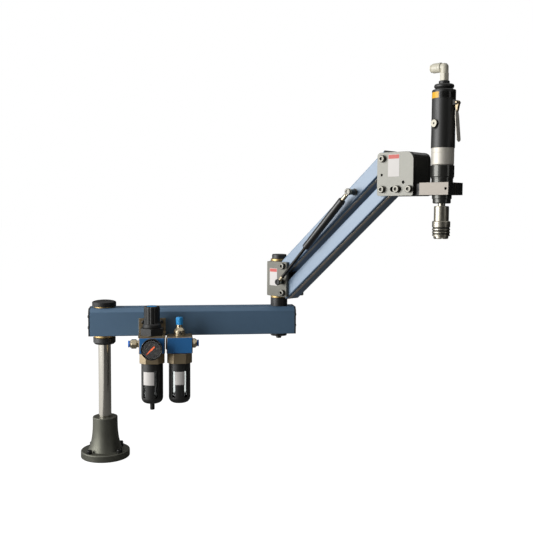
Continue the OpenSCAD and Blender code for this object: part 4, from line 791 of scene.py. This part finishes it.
def build_motor(m, f):
    """Gearbox, motor casing, clamp ring, throttle lever and reversing button."""
    at, body = m.tool, "head"
    z0, z1 = node_heights("gear_ring")
    Build().turn([(0, z0), (22.9, z0, 0.6), (22.9, 704), (24, 704, 1.2), (24, 706.6, 0.6), (25.2, 707.6, 0.6),
                  (25.2, 722), (25.2, z1, 0.8), (0, z1)], at, soft=0.4) \
        .piece("gearbox_ring", body, f["ring_black"], "gear_ring")
    z0, z1 = node_heights("gear_housing")
    Build().turn([(0, z0), (22.4, z0, 0.5), (24.2, z0 + 2.2, 0.8), (24.2, z0 + 26), (23.9, z0 + 26.3),
                  (23.9, z0 + 27.2), (24.2, z0 + 27.5), (24.2, z1, 0.4), (0, z1)], at, soft=0.2) \
        .piece("turned_gear_housing", body, f["turned"], "gear_housing")
    top = z1 + 121  # upper end of the casing's straight side
    shell = [(0, z1), (25.4, z1, 0.5), (25.35, z1 + 3, 0.5), (25.1, z1 + 36), (25.1, top + 0.4, 0.3),
             (23.8, top + 1.8, 0.3), (17.6, top + 1.8, 0.8), (18.2, top + 4, 2), (20.9, top + 7.4, 1),
             (21, top + 11, 1.4), (19.6, top + 13.4, 1.0), (11.5, top + 13.6, 0.6), (11.5, top + 20, 0.6),
             (10.4, top + 21, 0.4), (6.1, top + 21, 0.3), (6.1, top + 8), (0, top + 8)]
    casing = Build().turn(shell, at, 120, 0.6, 4).piece("motor_casing", body, f["satin_black"], sharp=38)
    button_z = sum(node_heights("push_button")) / 2
    face = at @ turn_z(m.tool_button_side) @ move(19.5, 0, button_z) @ ALONG
    bored(casing, Build().rings(spun([(9.0, -4.0), (9.0, 9.0)], 64), face))
    side = at @ turn_z(m.tool_lever_turn)
    pin_r, pin_z = m.tool_lever_r, top - 27
    ear = soften([(22, pin_z - 6, 0.5), (pin_r, pin_z - 4.5, 4), (pin_r + 4.5, pin_z, 4), (pin_r, pin_z + 4.5, 4),
                  (22, pin_z + 6, 0.5)], 2, 5, True)
    ears = Build()
    for y in (-6.6, 6.6):
        ears.plate(ear, -1.5, 1.5, 0.4, side @ move(0, y) @ FACING)
    ears.piece("lever_ears", body, f["dull_black"], "motor_body")
    for name, last, out, key in (("motor_band", 17, 0.0, "gloss_black"), ("motor_band_block", -84, 0.12, "yellow")):
        Build().rings(wrapped(-132, last, 25.0 + out, 25.4 + out, top - 16.8, top - 4.2, 48), at) \
            .piece(name, body, f[key], sharp=50)
    z0, z1 = node_heights("clamp_ring")
    Build().hoop([(7.85, z0), (17.6, z0, 0.8), (19.2, z0 + 1.6, 0.6), (19.2, z0 + 9.5, 0.6), (20.9, z0 + 9.9, 0.6),
                  (20.9, z1, 0.6), (7.85, z1)], at, soft=0.4) \
        .piece("stepped_clamp_ring", body, f["ring_black"], "clamp_ring")
    # The lever's blade leans out and widens downwards as powers of s, and a square root of s rounds its end
    s = np.linspace(0, 1, 40)
    path = np.stack([pin_r - 2.2 + 6.6 * s ** 1.15, np.zeros(40), pin_z - 9 - 73.5 * s], -1)
    width = 9.2 + 8.4 * np.clip((s - 0.05) / 0.22, 0, 1) ** 0.8
    width = width * np.sqrt(np.clip((1 - s) / 0.06, 0.02, 1))
    Build().rings(strip(path, width, 2.6, np.array([0.0, 1.0, 0.0]), 24), side) \
        .piece("throttle_blade", "lever", f["turned"], "throttle_lever", sharp=40)
    pin = side @ move(pin_r, 0, pin_z) @ FACING
    cheek = soften([(pin_r - 2.6, pin_z - 19, 1), (pin_r + 0.6, pin_z - 19, 1), (pin_r + 4.5, pin_z, 3),
                    (pin_r + 1.5, pin_z + 4.5, 3), (pin_r - 2.6, pin_z + 4.2, 2), (pin_r - 4, pin_z - 2, 2)],
                   1, 4, True)
    Build().turn([(0, -4.6), (4.5, -4.6), (4.5, 4.6), (0, 4.6)], pin, 64, 0.6) \
        .turn([(0, -8.2), (2, -8.2), (2, 8.2), (0, 8.2)], pin, 48) \
        .plate(cheek, -4.6, 4.6, 0.5, side @ FACING).piece("throttle_hub", "lever", f["champagne"])
    Build().turn([(0, 0), (8.7, 0, 0.3), (8.7, 8.0, 0.6), (8.2, 8.5, 0.3), (0, 8.5)], face, 72, steps=4) \
        .piece("reversing_button", "button", f["black"], "push_button")
    # The face's light cream stands in for the highlight on the button's face: painted highlight
    Build().band(face, 2.2, 8.0, 8.2, 9.0, 0.3, 72).piece("reversing_button_face", "button", f["cream"])


def build_chuck(m, f):
    """Chuck body with its drive slots, release sleeve, swivel elbow and its ring."""
    at = m.tool
    z0, end = node_heights("chuck_body")
    low, high = node_heights("chuck_sleeve")
    top, deep = high + 32.2, z0 + 34.0  # top of the wide part, and end of the socket
    t = np.linspace(0, 2 * np.pi, 144, endpoint=False)
    slot = np.abs(((t - math.radians(15) + math.pi / 6) % (np.pi / 3)) - math.pi / 6) < 0.15
    foot = np.where(slot, z0 + 4.0, z0)
    edge = np.where(slot, z0 + 4.0, z0 + 0.7)
    rows = [(0, deep), (9.5, deep), (9.5, edge + 0.2), (9.9, foot), (14.4, foot), (15.2, edge),
            (15.9, np.maximum(edge, z0 + 2.0)), (15.9, top - 2.2), (15.3, top - 0.6), (14.2, top), (7.8, top),
            (7.8, end - 0.5), (7.2, end), (0, end)]
    Build().rings(courses(rows, t), at, ends=False).piece("chuck_core", "chuck", f["chuck"], "chuck_body", sharp=30)
    r, z, groove = 19.3, low, 19.3 - 1.8
    sleeve = [(15.95, z), (r - 1.2, z, 0.5), (r - 0.6, z + 0.8, 0.4), (r - 0.6, z + 3.3, 0.2), (groove, z + 3.6),
              (groove, z + 6.4), (r - 0.3, z + 6.7, 0.2), (r - 0.3, z + 9.6, 0.2), (groove, z + 9.9),
              (groove, z + 12.7), (r - 0.15, z + 13, 0.2), (r - 0.15, z + 15.9, 0.2), (groove, z + 16.2),
              (groove, z + 19), (r, z + 19.3, 0.3), (r, high - 1.4, 0.6), (r - 1.2, high, 0.5), (15.95, high)]
    Build().hoop(sleeve, at, 120, 0.15).piece("release_sleeve", "sleeve", f["chuck"], "chuck_sleeve", sharp=30)
    bands = Build()
    for up in (3.7, 10.0, 16.3):
        bands.band(at, r - 2.2, r - 1.3, z + up, z + up + 2.6, 0.3)
    bands.piece("release_sleeve_bands", "sleeve", f["plastic"])
    z = node_heights("air_elbow")[0] + 4 + 7.4 + 0.3  # seat of the elbow's foot
    turn_at = z + 28.9  # height of the barrel's axis
    port = Build().turn([(0, z - 11.5), (5.9, z - 11.5, 0.5), (5.9, z), (9.7, z, 0.5), (9.7, z + 15.4, 0.9),
                         (8.4, z + 16, 0.5), (8.4, turn_at)], at, soft=0.4, rule=hexagon(18, 8.6))
    bend = [(8.4 * math.cos(a), turn_at + 8.4 * math.sin(a)) for a in np.linspace(-np.pi / 2, np.pi / 2, 24)]
    port.rings(spun(bend, 96), at, ends=False)
    barrel = at @ move(0, 0, turn_at) @ AGAINST
    port.turn([(0, -1), (8.4, -1), (8.4, 6.8, 0.4), (10.35, 7.4, 0.8), (10.35, 12, 0.3), (10.1, 12.3, 0.2),
               (10.1, 13.3, 0.2), (10.35, 13.6, 0.3), (10.35, 27.6, 1.1), (7.25, 27.6, 0.4), (7.25, 16), (6.1, 16),
               (6.1, 8), (0, 8)], barrel, soft=0.2)
    port.piece("swivel_elbow", "hose_elbow", f["cream"], "air_elbow", sharp=38)
    ring = [(6.1, 18), (7.2, 18), (7.2, 29.0), (8.5, 29.4, 0.4), (8.5, 32.4, 0.9), (6.1, 32.4, 0.6)]
    Build().hoop(ring, barrel, 72, 0.2).piece("swivel_release_ring", "hose_ring", f["cream"], "air_collet")


def build_air_bodies(m, f):
    """Bracket, die cast bodies, face plates, bonnet nut, guards, bowls and sight neck."""
    body, top, x, wall = "level_arm", UNIT_TOP, m.air_regulator_x, -TUBE_HALF
    out = wall - BRACKET_THICK
    end = -103  # front edge of the bracket's lower leg
    leg = soften([(wall, top, 0.3), (wall, top + 39, 0.6), (out, top + 39, 0.6), (out, top + 3, 2.2),
                  (end, top + 3, 0.8), (end, top, 0.8)], 0.5, 4, True)
    Build().plate(leg, x - 33.5, x + 33.5, 0.5, ALONG).piece("bent_bracket", body, f["champagne"], "air_bracket")
    w = 30.75  # half the width of the eight-sided collar that takes the bowl
    k = w - 15.4
    eight = soften([(-k, -w), (k, -w), (w, -k), (w, k), (k, w), (-k, w), (-w, k), (-w, -k)], 1.2, 3, True)
    plates = Build()
    for kind, at in (("regulator", m.regulator), ("lubricator", m.lubricator)):
        cast = Build().plate(box_outline(64, 60, m.air_casting_round), top - 40, top, 1.4, at)
        cast.plate(box_outline(56, 52, 2), top - 41.5, top - 38, 0.3, at)
        cast.plate(eight, top - 66, top - 41, 1.1, at)
        if kind == "regulator":
            for i in range(11):
                cast.plate(box_outline(1.3, 1.0, 0.3, 2), 0, 6.5, 0.2, at @ move(-12.5 + 2.5 * i, -w, top - 50))
        else:
            cast.turn([(0, -34.2), (15, -34.2), (15, -31.8), (0, -31.8)], at @ move(0, 0, PORT_Z) @ ALONG, 72)
        for sx in (-26, 26):
            for sy in (-24, 24):
                cast.turn([(0, 0), (3.2, 0), (3.2, 0.6), (1.6, 1.0), (0, 1.0)], at @ move(sx, sy, top - 0.2), 32)
        cast.piece(kind + "_casting", body, f["zinc"], kind + "_body")
        plates.plate(box_outline(60.4, 38.2, 1.6, 4), 0, 1.5, 0.45, at @ move(0, -30, top - 20.1) @ FACING)
    plates.piece("blue_face_plates", body, f["blue_plate"], "face_plates")
    nut = [(0, 307), (15, 307), (15, 325.3), (28.4, 325.3, 0.4), (30.6, 326.6, 0.4), (30.6, 341.6, 0.4),
           (28.0, 343.0, 0.4), (10, 343.0), (10, 356.8, 0.5), (0, 356.8)]
    Build().turn(nut, m.regulator @ turn_z(math.radians(26)), 144, rule=hexagon(53)) \
        .piece("bonnet_nut", body, f["plastic"], "bonnet", sharp=25)
    for kind in ("filter", "lubricator"):
        dressed(kind + "_guard", kind + "_bowl_guard", body, f["satin_black"], 0.35)
    paint("clear_bowls", f["bowl"])
    Build().turn([(0, 240), (17, 240), (17, 171), (12, 168), (0, 168)], m.regulator, 72, 1.2) \
        .piece("filter_element", body, f["plastic"])
    for kind, at, first, last in (("filter", m.regulator, -140, -79), ("lubricator", m.lubricator, -116, -63)):
        Build().rings(wrapped(first, last, 27.02, 27.24, 203.5, 236.2, 24), at) \
            .piece(kind + "_label", body, f["paper"], sharp=50)
    neck = [(0, top - 8), (7.9, top - 8), (7.9, top), (14.4, top, 0.4), (14.4, top + 3.4, 0.3), (14, top + 3.9, 0.2),
            (14.2, top + 4.4, 0.2), (14.2, top + 13, 1.2), (12.8, top + 15.2, 1.2), (7.9, top + 21, 1.2),
            (7.3, top + 27.4, 0.5), (3.1, top + 27.4, 0.3), (3.1, top + 12), (0, top + 12)]
    Build().turn(neck, m.lubricator, steps=4).piece("sight_neck_turned", body, f["nickel"], "sight_neck")
    hole = m.lubricator @ move(1.5, -13.6, top + 5.5) @ FACING
    Build().band(hole, 3.2, 4.4, -1.5, 0.7, 0.4, 48) \
        .turn([(0, -1), (3.3, -1), (3.3, 0.3), (0, 0.3)], hole, 32, 0.1, 2).piece("sight_port", body, f["black"])


def build_air_movers(m, f):
    """Knob, sight cap, drain valve, push-in fittings and their release rings."""
    def flutes(r, t):
        """Twelve broad ribs: between them the side falls in by 1.2 as a high power of a sine."""
        return np.where((r > 18.2) & (r < 20.5), r - 1.2 * np.sin(6 * t) ** 10, r)

    def grips(r, t):
        """Fine ribs round the cap: the side falls in by 0.4 eighteen times."""
        return np.where(r > 8.3, r - 0.4 * (0.5 - 0.5 * np.cos(18 * t)), r)

    def wings(r, t):
        """Ribs on the drain's grip."""
        return np.where(r > 4.7, r - 0.4 * np.cos(6 * t) ** 6, r)

    at = m.regulator
    knob = [(0, 358.4), (10.05, 358.4), (10.05, 343.3), (22.2, 343.3, 0.4), (22.8, 344, 0.4), (22.8, 350, 1.6),
            (20.8, 353.0, 1.6), (19.7, 354.6), (19.6, 393.4, 2.4), (17.8, 396.6, 1.4), (15.2, 396.8, 0.5),
            (14.4, 395.6, 0.3), (0, 395.6)]
    Build().turn(knob, at, 192, 0.5, 4, flutes) \
        .piece("fluted_knob", "knob", f["plastic"], "regulator_knob", sharp=36)
    Build().turn([(0, 395.5), (12.4, 395.5), (12.4, 396.2), (11.4, 396.6), (0, 396.6)], at, 72, 0.4) \
        .piece("knob_disc", "knob", f["sky_blue"])
    z = UNIT_TOP
    cap = [(0, z + 27.7), (8.4, z + 27.7, 0.5), (9.1, z + 43.4, 1.8), (7.4, z + 46.3, 1.0), (0, z + 46.3)]
    Build().turn(cap, m.lubricator, 144, 0.5, 5, grips).rings(spun([(3, z + 28), (3, z + 14)], 32), m.lubricator) \
        .piece("blue_sight_cap", "oil_cap", f["sky_blue"], "sight_cap", sharp=36)
    z0, z1 = node_heights("drain_valve")
    drain = [(0, z0), (4.9, z0, 0.4), (5.9, z0 + 1, 0.4), (5.9, z1 - 11.4, 0.5), (3.95, z1 - 11.3), (3.95, z1),
             (0, z1)]
    Build().turn(drain, at, soft=0.4, rule=wings).piece("drain_petcock", "drain", f["plastic"], "drain_valve")
    for node, x, out, foot in (("inlet", 89.6, AGAINST, 5.5), ("outlet", 211.4, ALONG, 10.2)):
        at = move(x, -m.air_depth, PORT_Z) @ out
        foot_turned = [(0, -10), (6.5, -10), (6.5, 0), (8.5, 0.1, 0.5), (8.5, 5.4, 0.3), (0, 5.4)]
        fitting = Build().turn(foot_turned, at, 72, 0.4)
        nut = soften([(8, foot), (10.9, foot, 0.4), (12.6, foot + 1.6, 0.5), (12.6, 16.9, 0.5), (10.7, 18.5, 0.4),
                      (8, 18.5)], 0.4, 3)
        fitting.rings(spun(nut, 144, hexagon(22)), at)
        fitting.hoop([(7.25, 11.5), (7.25, 21, 0.3), (9.25, 21, 0.7), (9.25, 17), (9.25, 11.5)], at, 72, 0.2)
        fitting.piece(node + "_push_fitting", "level_arm", f["nickel"], node + "_fitting", sharp=30)
        Build().hoop([(6.1, 13.6), (7.2, 13.6), (7.2, 22.6), (8.5, 22.8, 0.4), (8.5, 26.2, 1.0), (6.1, 26.2, 0.7)],
                     at, 72, 0.2).piece(node + "_release_ring", node + "_ring", f["bright_blue"], node + "_collet")


def written(text, size):
    """Flat outline of a generic number, as points and faces, from Blender's own font."""
    curve = bpy.data.curves.new("number", "FONT")
    curve.body, curve.size = text, size
    curve.align_x, curve.align_y = "CENTER", "CENTER"
    obj = bpy.data.objects.new("number", curve)
    bpy.context.scene.collection.objects.link(obj)
    bpy.context.view_layer.update()
    mesh = bpy.data.meshes.new_from_object(obj.evaluated_get(bpy.context.evaluated_depsgraph_get()))
    pts = np.array([v.co[:] for v in mesh.vertices])
    faces = [list(p.vertices) for p in mesh.polygons]
    bpy.data.objects.remove(obj)
    bpy.data.curves.remove(curve)
    bpy.data.meshes.remove(mesh)
    return pts, faces


def build_gauge(m, f):
    """Dial gauge: case and rim, dial with plain numbers, needle and lens."""
    at = move(m.air_regulator_x, GAUGE_SEAT, GAUGE_Z) @ FACING
    body, r = "level_arm", m.air_dial / 2
    case = [(0, -12), (5, -12), (5, 0), (24.2, 0, 1.5), (24.5, 2), (24.5, 11.6, 0.6), (26, 12.4, 0.6), (26, 20, 1.3),
            (24.3, 20, 0.5), (23.6, 18.5, 0.3), (22, 18.5, 0.3), (22, 15, 0.2), (0, 15)]
    Build().turn(case, at, 120, 0.4, 4).piece("gauge_case_rim", body, f["gloss_black"], "gauge_case", sharp=36)
    Build().turn([(0, 15.02), (r, 15.02), (r, 15.2), (0, 15.2)], at, soft=0) \
        .piece("gauge_dial_face", body, f["dial"])
    marks = Build()
    for i in range(26):
        w, inner = (0.6, r - 4.6) if i % 5 == 0 else (0.3, r - 3.2)
        bar = box_outline(r - 1.6 - inner, w, 0.1, 1, cx=(r - 1.6 + inner) / 2)
        marks.plate(bar, 15.2, 15.27, 0.01, at @ turn_z(math.radians(225 - DIAL_TURN * i / 25)), 1)
    for i, word in enumerate(("0", "2", "4", "6", "8", "10")):
        a = math.radians(225 - DIAL_TURN / 5 * i)
        pts, faces = written(word, 5.4)
        pts[:, 2] = 15.26
        marks.add(pts, faces, at @ move((r - 9.3) * math.cos(a), (r - 9.3) * math.sin(a)))
    marks.piece("gauge_dial_marks", body, f["white"])
    hand = soften([(-13.2, -12.8, 0.1), (-12.6, -13.4, 0.1), (1.0, -1.6, 0.5), (8.2, 6.0, 1.6), (6.0, 8.2, 1.6),
                   (-1.6, 1.0, 0.5)], 0.4, 4, True)
    Build().plate(hand, 15.7, 16.3, 0.15, at, 2) \
        .hoop([(1.05, 15.6), (2.5, 15.6), (2.5, 17.1), (1.05, 17.1)], at, 48) \
        .piece("gauge_pointer", "needle", f["orange"], "gauge_needle")
    window = Build().turn([(0, 18.5), (23.4, 18.5), (23.4, 19.5), (14, 19.9, 6), (0, 20)], at, steps=5) \
        .piece("gauge_window", body, f["lens"], "gauge_lens", sharp=40)
    window.visible_shadow = False  # the lamps reach the dial through the clear window


# ---------------------------------------------------------------- stage


def looked_at(tree):
    """A value that is 1 where the camera, a mirror or a glass looks at a surface, and 0 for other light."""
    rays = tree.nodes.new("ShaderNodeLightPath")
    value = rays.outputs["Is Camera Ray"]
    for kind in ("Is Glossy Ray", "Is Transmission Ray"):
        add = tree.nodes.new("ShaderNodeMath")
        add.operation, add.use_clamp = "ADD", True
        tree.links.new(value, add.inputs[0])
        tree.links.new(rays.outputs[kind], add.inputs[1])
        value = add.outputs[0]
    return value


def glow(tree, kind, level):
    """A white emission or background of the given level."""
    node = tree.nodes.new(kind)
    node.inputs["Color"].default_value = (1, 1, 1, 1)
    node.inputs["Strength"].default_value = level
    return node.outputs[0]


def picked(tree, plain, seen):
    """The shader seen where something looks at the surface, and plain elsewhere."""
    pick = tree.nodes.new("ShaderNodeMixShader")
    for socket, value in zip(pick.inputs, (looked_at(tree), plain, seen)):
        tree.links.new(value, socket)
    return pick.outputs[0]


def white_floor():
    """Floor finish: a diffuse surface for the light, with white added only where it is looked at."""
    mat = bpy.data.materials.new("white_floor")
    mat.use_nodes = True
    tree = mat.node_tree
    tree.nodes.clear()
    dull = tree.nodes.new("ShaderNodeBsdfDiffuse")
    dull.inputs["Color"].default_value = (0.2, 0.2, 0.2, 1)
    both = tree.nodes.new("ShaderNodeAddShader")
    shown = picked(tree, glow(tree, "ShaderNodeEmission", 0.0), glow(tree, "ShaderNodeEmission", 0.976))
    tree.links.new(shown, both.inputs[0])
    tree.links.new(dull.outputs[0], both.inputs[1])
    tree.links.new(both.outputs[0], tree.nodes.new("ShaderNodeOutputMaterial").inputs["Surface"])
    return mat


def area_light(name, watts, wide, high, place, mirrored):
    """A soft light, wide by high, turned to look at the machine; metal shows it if mirrored."""
    lamp = bpy.data.lights.new(name, "AREA")
    lamp.shape = "RECTANGLE"
    lamp.energy, lamp.size, lamp.size_y = watts, wide, high
    obj = bpy.data.objects.new(name, lamp)
    obj.location = place
    obj.rotation_euler = (Vector((0.45, -0.15, 0.5)) - Vector(place)).to_track_quat("-Z", "Y").to_euler()
    obj.visible_camera = False
    obj.visible_glossy = mirrored
    bpy.context.scene.collection.objects.link(obj)


def curtain(name, shade, place, size, tilt, turn):
    """A dark studio cloth that only mirror-like surfaces see: metal and gloss facing it stay dark."""
    bpy.ops.mesh.primitive_plane_add(size=1, location=place, rotation=(math.radians(tilt), 0, math.radians(turn)))
    obj = bpy.context.object
    obj.name = name
    obj.scale = (size[0], size[1], 1)
    mat = bpy.data.materials.new(name)
    mat.use_nodes = True
    cloth = mat.node_tree.nodes["Principled BSDF"]
    cloth.inputs["Base Color"].default_value = (shade, shade, shade, 1)
    cloth.inputs["Roughness"].default_value = 1.0
    cloth.inputs["Specular IOR Level"].default_value = 0.0
    obj.data.materials.append(mat)
    for kind in ("camera", "diffuse", "transmission", "shadow"):
        setattr(obj, "visible_" + kind, False)


def build_stage(scene):
    """White floor, soft lights, dark curtains and the camera of the photograph."""
    light = scene.tapping_light
    bpy.ops.mesh.primitive_plane_add(size=60, location=(0, 0, -0.0006))
    floor = bpy.context.object
    floor.name = "floor"
    floor.data.materials.append(white_floor())
    world = bpy.data.worlds.new("studio")
    scene.world = world
    world.use_nodes = True
    tree = world.node_tree
    tree.nodes.clear()
    sky = picked(tree, glow(tree, "ShaderNodeBackground", light.sky), glow(tree, "ShaderNodeBackground", 1.0))
    tree.links.new(sky, tree.nodes.new("ShaderNodeOutputWorld").inputs["Surface"])
    area_light("key", light.key, 1.9, 1.6, (-1.72, -0.62, 0.88), True)
    area_light("fill", light.fill, 1.4, 1.2, (2.3, -0.2, 1.2), False)
    area_light("back", light.back, 1.6, 1.2, (0.6, 2.6, 1.4), False)
    curtain("front_cloth", 0.16, (0.3, -4.2, 1.6), (5.4, 3.6), 90, 0)
    curtain("right_cloth", 0.06, (4.0, 0.0, 1.6), (7.2, 3.6), 90, 90)
    curtain("back_cloth", 0.18, (1.6, 3.6, 1.6), (8.0, 3.6), 90, 0)
    curtain("low_cloth", 0.28, (1.9, -0.4, 0.0), (4.4, 7.6), 0, 0)
    cam = bpy.data.cameras.new("photo_camera")
    cam.sensor_width, cam.lens = 36.0, 36.0 * 763.05 / 533.0
    obj = bpy.data.objects.new("photo_camera", cam)
    turns = ((-7.296, "Z"), (90 - 4.059, "X"), (0.34, "Z"))
    place = Matrix.Translation((0.16433, -1.96988, 0.62932))
    for degrees, axis in turns:
        place = place @ Matrix.Rotation(math.radians(degrees), 4, axis)
    obj.matrix_world = place
    scene.collection.objects.link(obj)
    scene.camera = obj
    scene.view_settings.view_transform = "Standard"


# ---------------------------------------------------------------- operators


def run(context, job):
    """Calls a builder with the machine's places and its finishes."""
    job(Machine(context.scene), finishes(context.scene.tapping_paint))
    return {"FINISHED"}


class TAPPING_OT_base(bpy.types.Operator):
    """Dress the base casting, post, collar and cap"""
    bl_idname = "tapping.base"
    bl_label = "Base and Post"

    def execute(self, context):
        return run(context, build_base)


class TAPPING_OT_level_arm(bpy.types.Operator):
    """Dress the level arm and its elbow end"""
    bl_idname = "tapping.level_arm"
    bl_label = "Level Arm"

    def execute(self, context):
        return run(context, build_level_arm)


class TAPPING_OT_elbow(bpy.types.Operator):
    """Dress the elbow block and its plates"""
    bl_idname = "tapping.elbow"
    bl_label = "Elbow"

    def execute(self, context):
        return run(context, build_elbow)


class TAPPING_OT_links(bpy.types.Operator):
    """Dress the two link beams"""
    bl_idname = "tapping.links"
    bl_label = "Link Beams"

    def execute(self, context):
        return run(context, build_links)


class TAPPING_OT_spring(bpy.types.Operator):
    """Dress the gas spring"""
    bl_idname = "tapping.spring"
    bl_label = "Gas Spring"

    def execute(self, context):
        return run(context, build_spring)


class TAPPING_OT_head(bpy.types.Operator):
    """Dress the head plates, core and split bracket"""
    bl_idname = "tapping.head"
    bl_label = "Head"

    def execute(self, context):
        return run(context, build_head)


class TAPPING_OT_motor(bpy.types.Operator):
    """Dress the motor, its gearbox, lever and button"""
    bl_idname = "tapping.motor"
    bl_label = "Tapping Motor"

    def execute(self, context):
        return run(context, build_motor)


class TAPPING_OT_chuck(bpy.types.Operator):
    """Dress the chuck, its sleeve and the hose elbow"""
    bl_idname = "tapping.chuck"
    bl_label = "Chuck and Hose Elbow"

    def execute(self, context):
        return run(context, build_chuck)


class TAPPING_OT_air_bodies(bpy.types.Operator):
    """Dress the filter regulator and the lubricator"""
    bl_idname = "tapping.air_bodies"
    bl_label = "Air Unit Bodies"

    def execute(self, context):
        return run(context, build_air_bodies)


class TAPPING_OT_air_movers(bpy.types.Operator):
    """Dress the knob, cap, drain and fittings"""
    bl_idname = "tapping.air_movers"
    bl_label = "Air Unit Knobs and Fittings"

    def execute(self, context):
        return run(context, build_air_movers)


class TAPPING_OT_gauge(bpy.types.Operator):
    """Dress the dial gauge"""
    bl_idname = "tapping.gauge"
    bl_label = "Dial Gauge"

    def execute(self, context):
        return run(context, build_gauge)


class TAPPING_OT_stage(bpy.types.Operator):
    """Make the floor, the lights and the camera"""
    bl_idname = "tapping.stage"
    bl_label = "Stage"

    def execute(self, context):
        build_stage(context.scene)
        return {"FINISHED"}


OPERATORS = (TAPPING_OT_base, TAPPING_OT_level_arm, TAPPING_OT_elbow, TAPPING_OT_links, TAPPING_OT_spring,
             TAPPING_OT_head, TAPPING_OT_motor, TAPPING_OT_chuck, TAPPING_OT_air_bodies, TAPPING_OT_air_movers,
             TAPPING_OT_gauge, TAPPING_OT_stage)
GROUPS = {"arm": ArmSizes, "spring": SpringSizes, "tool": ToolSizes, "air": AirSizes, "paint": Paints,
          "light": StageLight}


class TAPPING_PT_panel(bpy.types.Panel):
    """Settings and builders of the arm tapping machine"""
    bl_idname = "TAPPING_PT_panel"
    bl_label = "Arm Tapping Machine"
    bl_space_type = "VIEW_3D"
    bl_region_type = "UI"
    bl_category = "Tapping Arm"

    def draw(self, context):
        for key in GROUPS:
            box = self.layout.box()
            group = getattr(context.scene, "tapping_" + key)
            for prop in group.bl_rna.properties:
                if prop.identifier not in {"rna_type", "name"}:
                    box.prop(group, prop.identifier)
        for op in OPERATORS:
            self.layout.operator(op.bl_idname)


def register():
    """Makes the classes and their settings known to Blender."""
    for cls in (*GROUPS.values(), *OPERATORS, TAPPING_PT_panel):
        bpy.utils.register_class(cls)
    for key, cls in GROUPS.items():
        setattr(bpy.types.Scene, "tapping_" + key, PointerProperty(type=cls))


def unregister():
    """Takes the settings and the classes away again."""
    for key in GROUPS:
        delattr(bpy.types.Scene, "tapping_" + key)
    for cls in reversed((*GROUPS.values(), *OPERATORS, TAPPING_PT_panel)):
        bpy.utils.unregister_class(cls)


def main():
    """Registers the add-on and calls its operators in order."""
    register()
    for op in OPERATORS:
        getattr(bpy.ops.tapping, op.bl_idname.split(".")[1])()


if __name__ == "__main__":
    main()
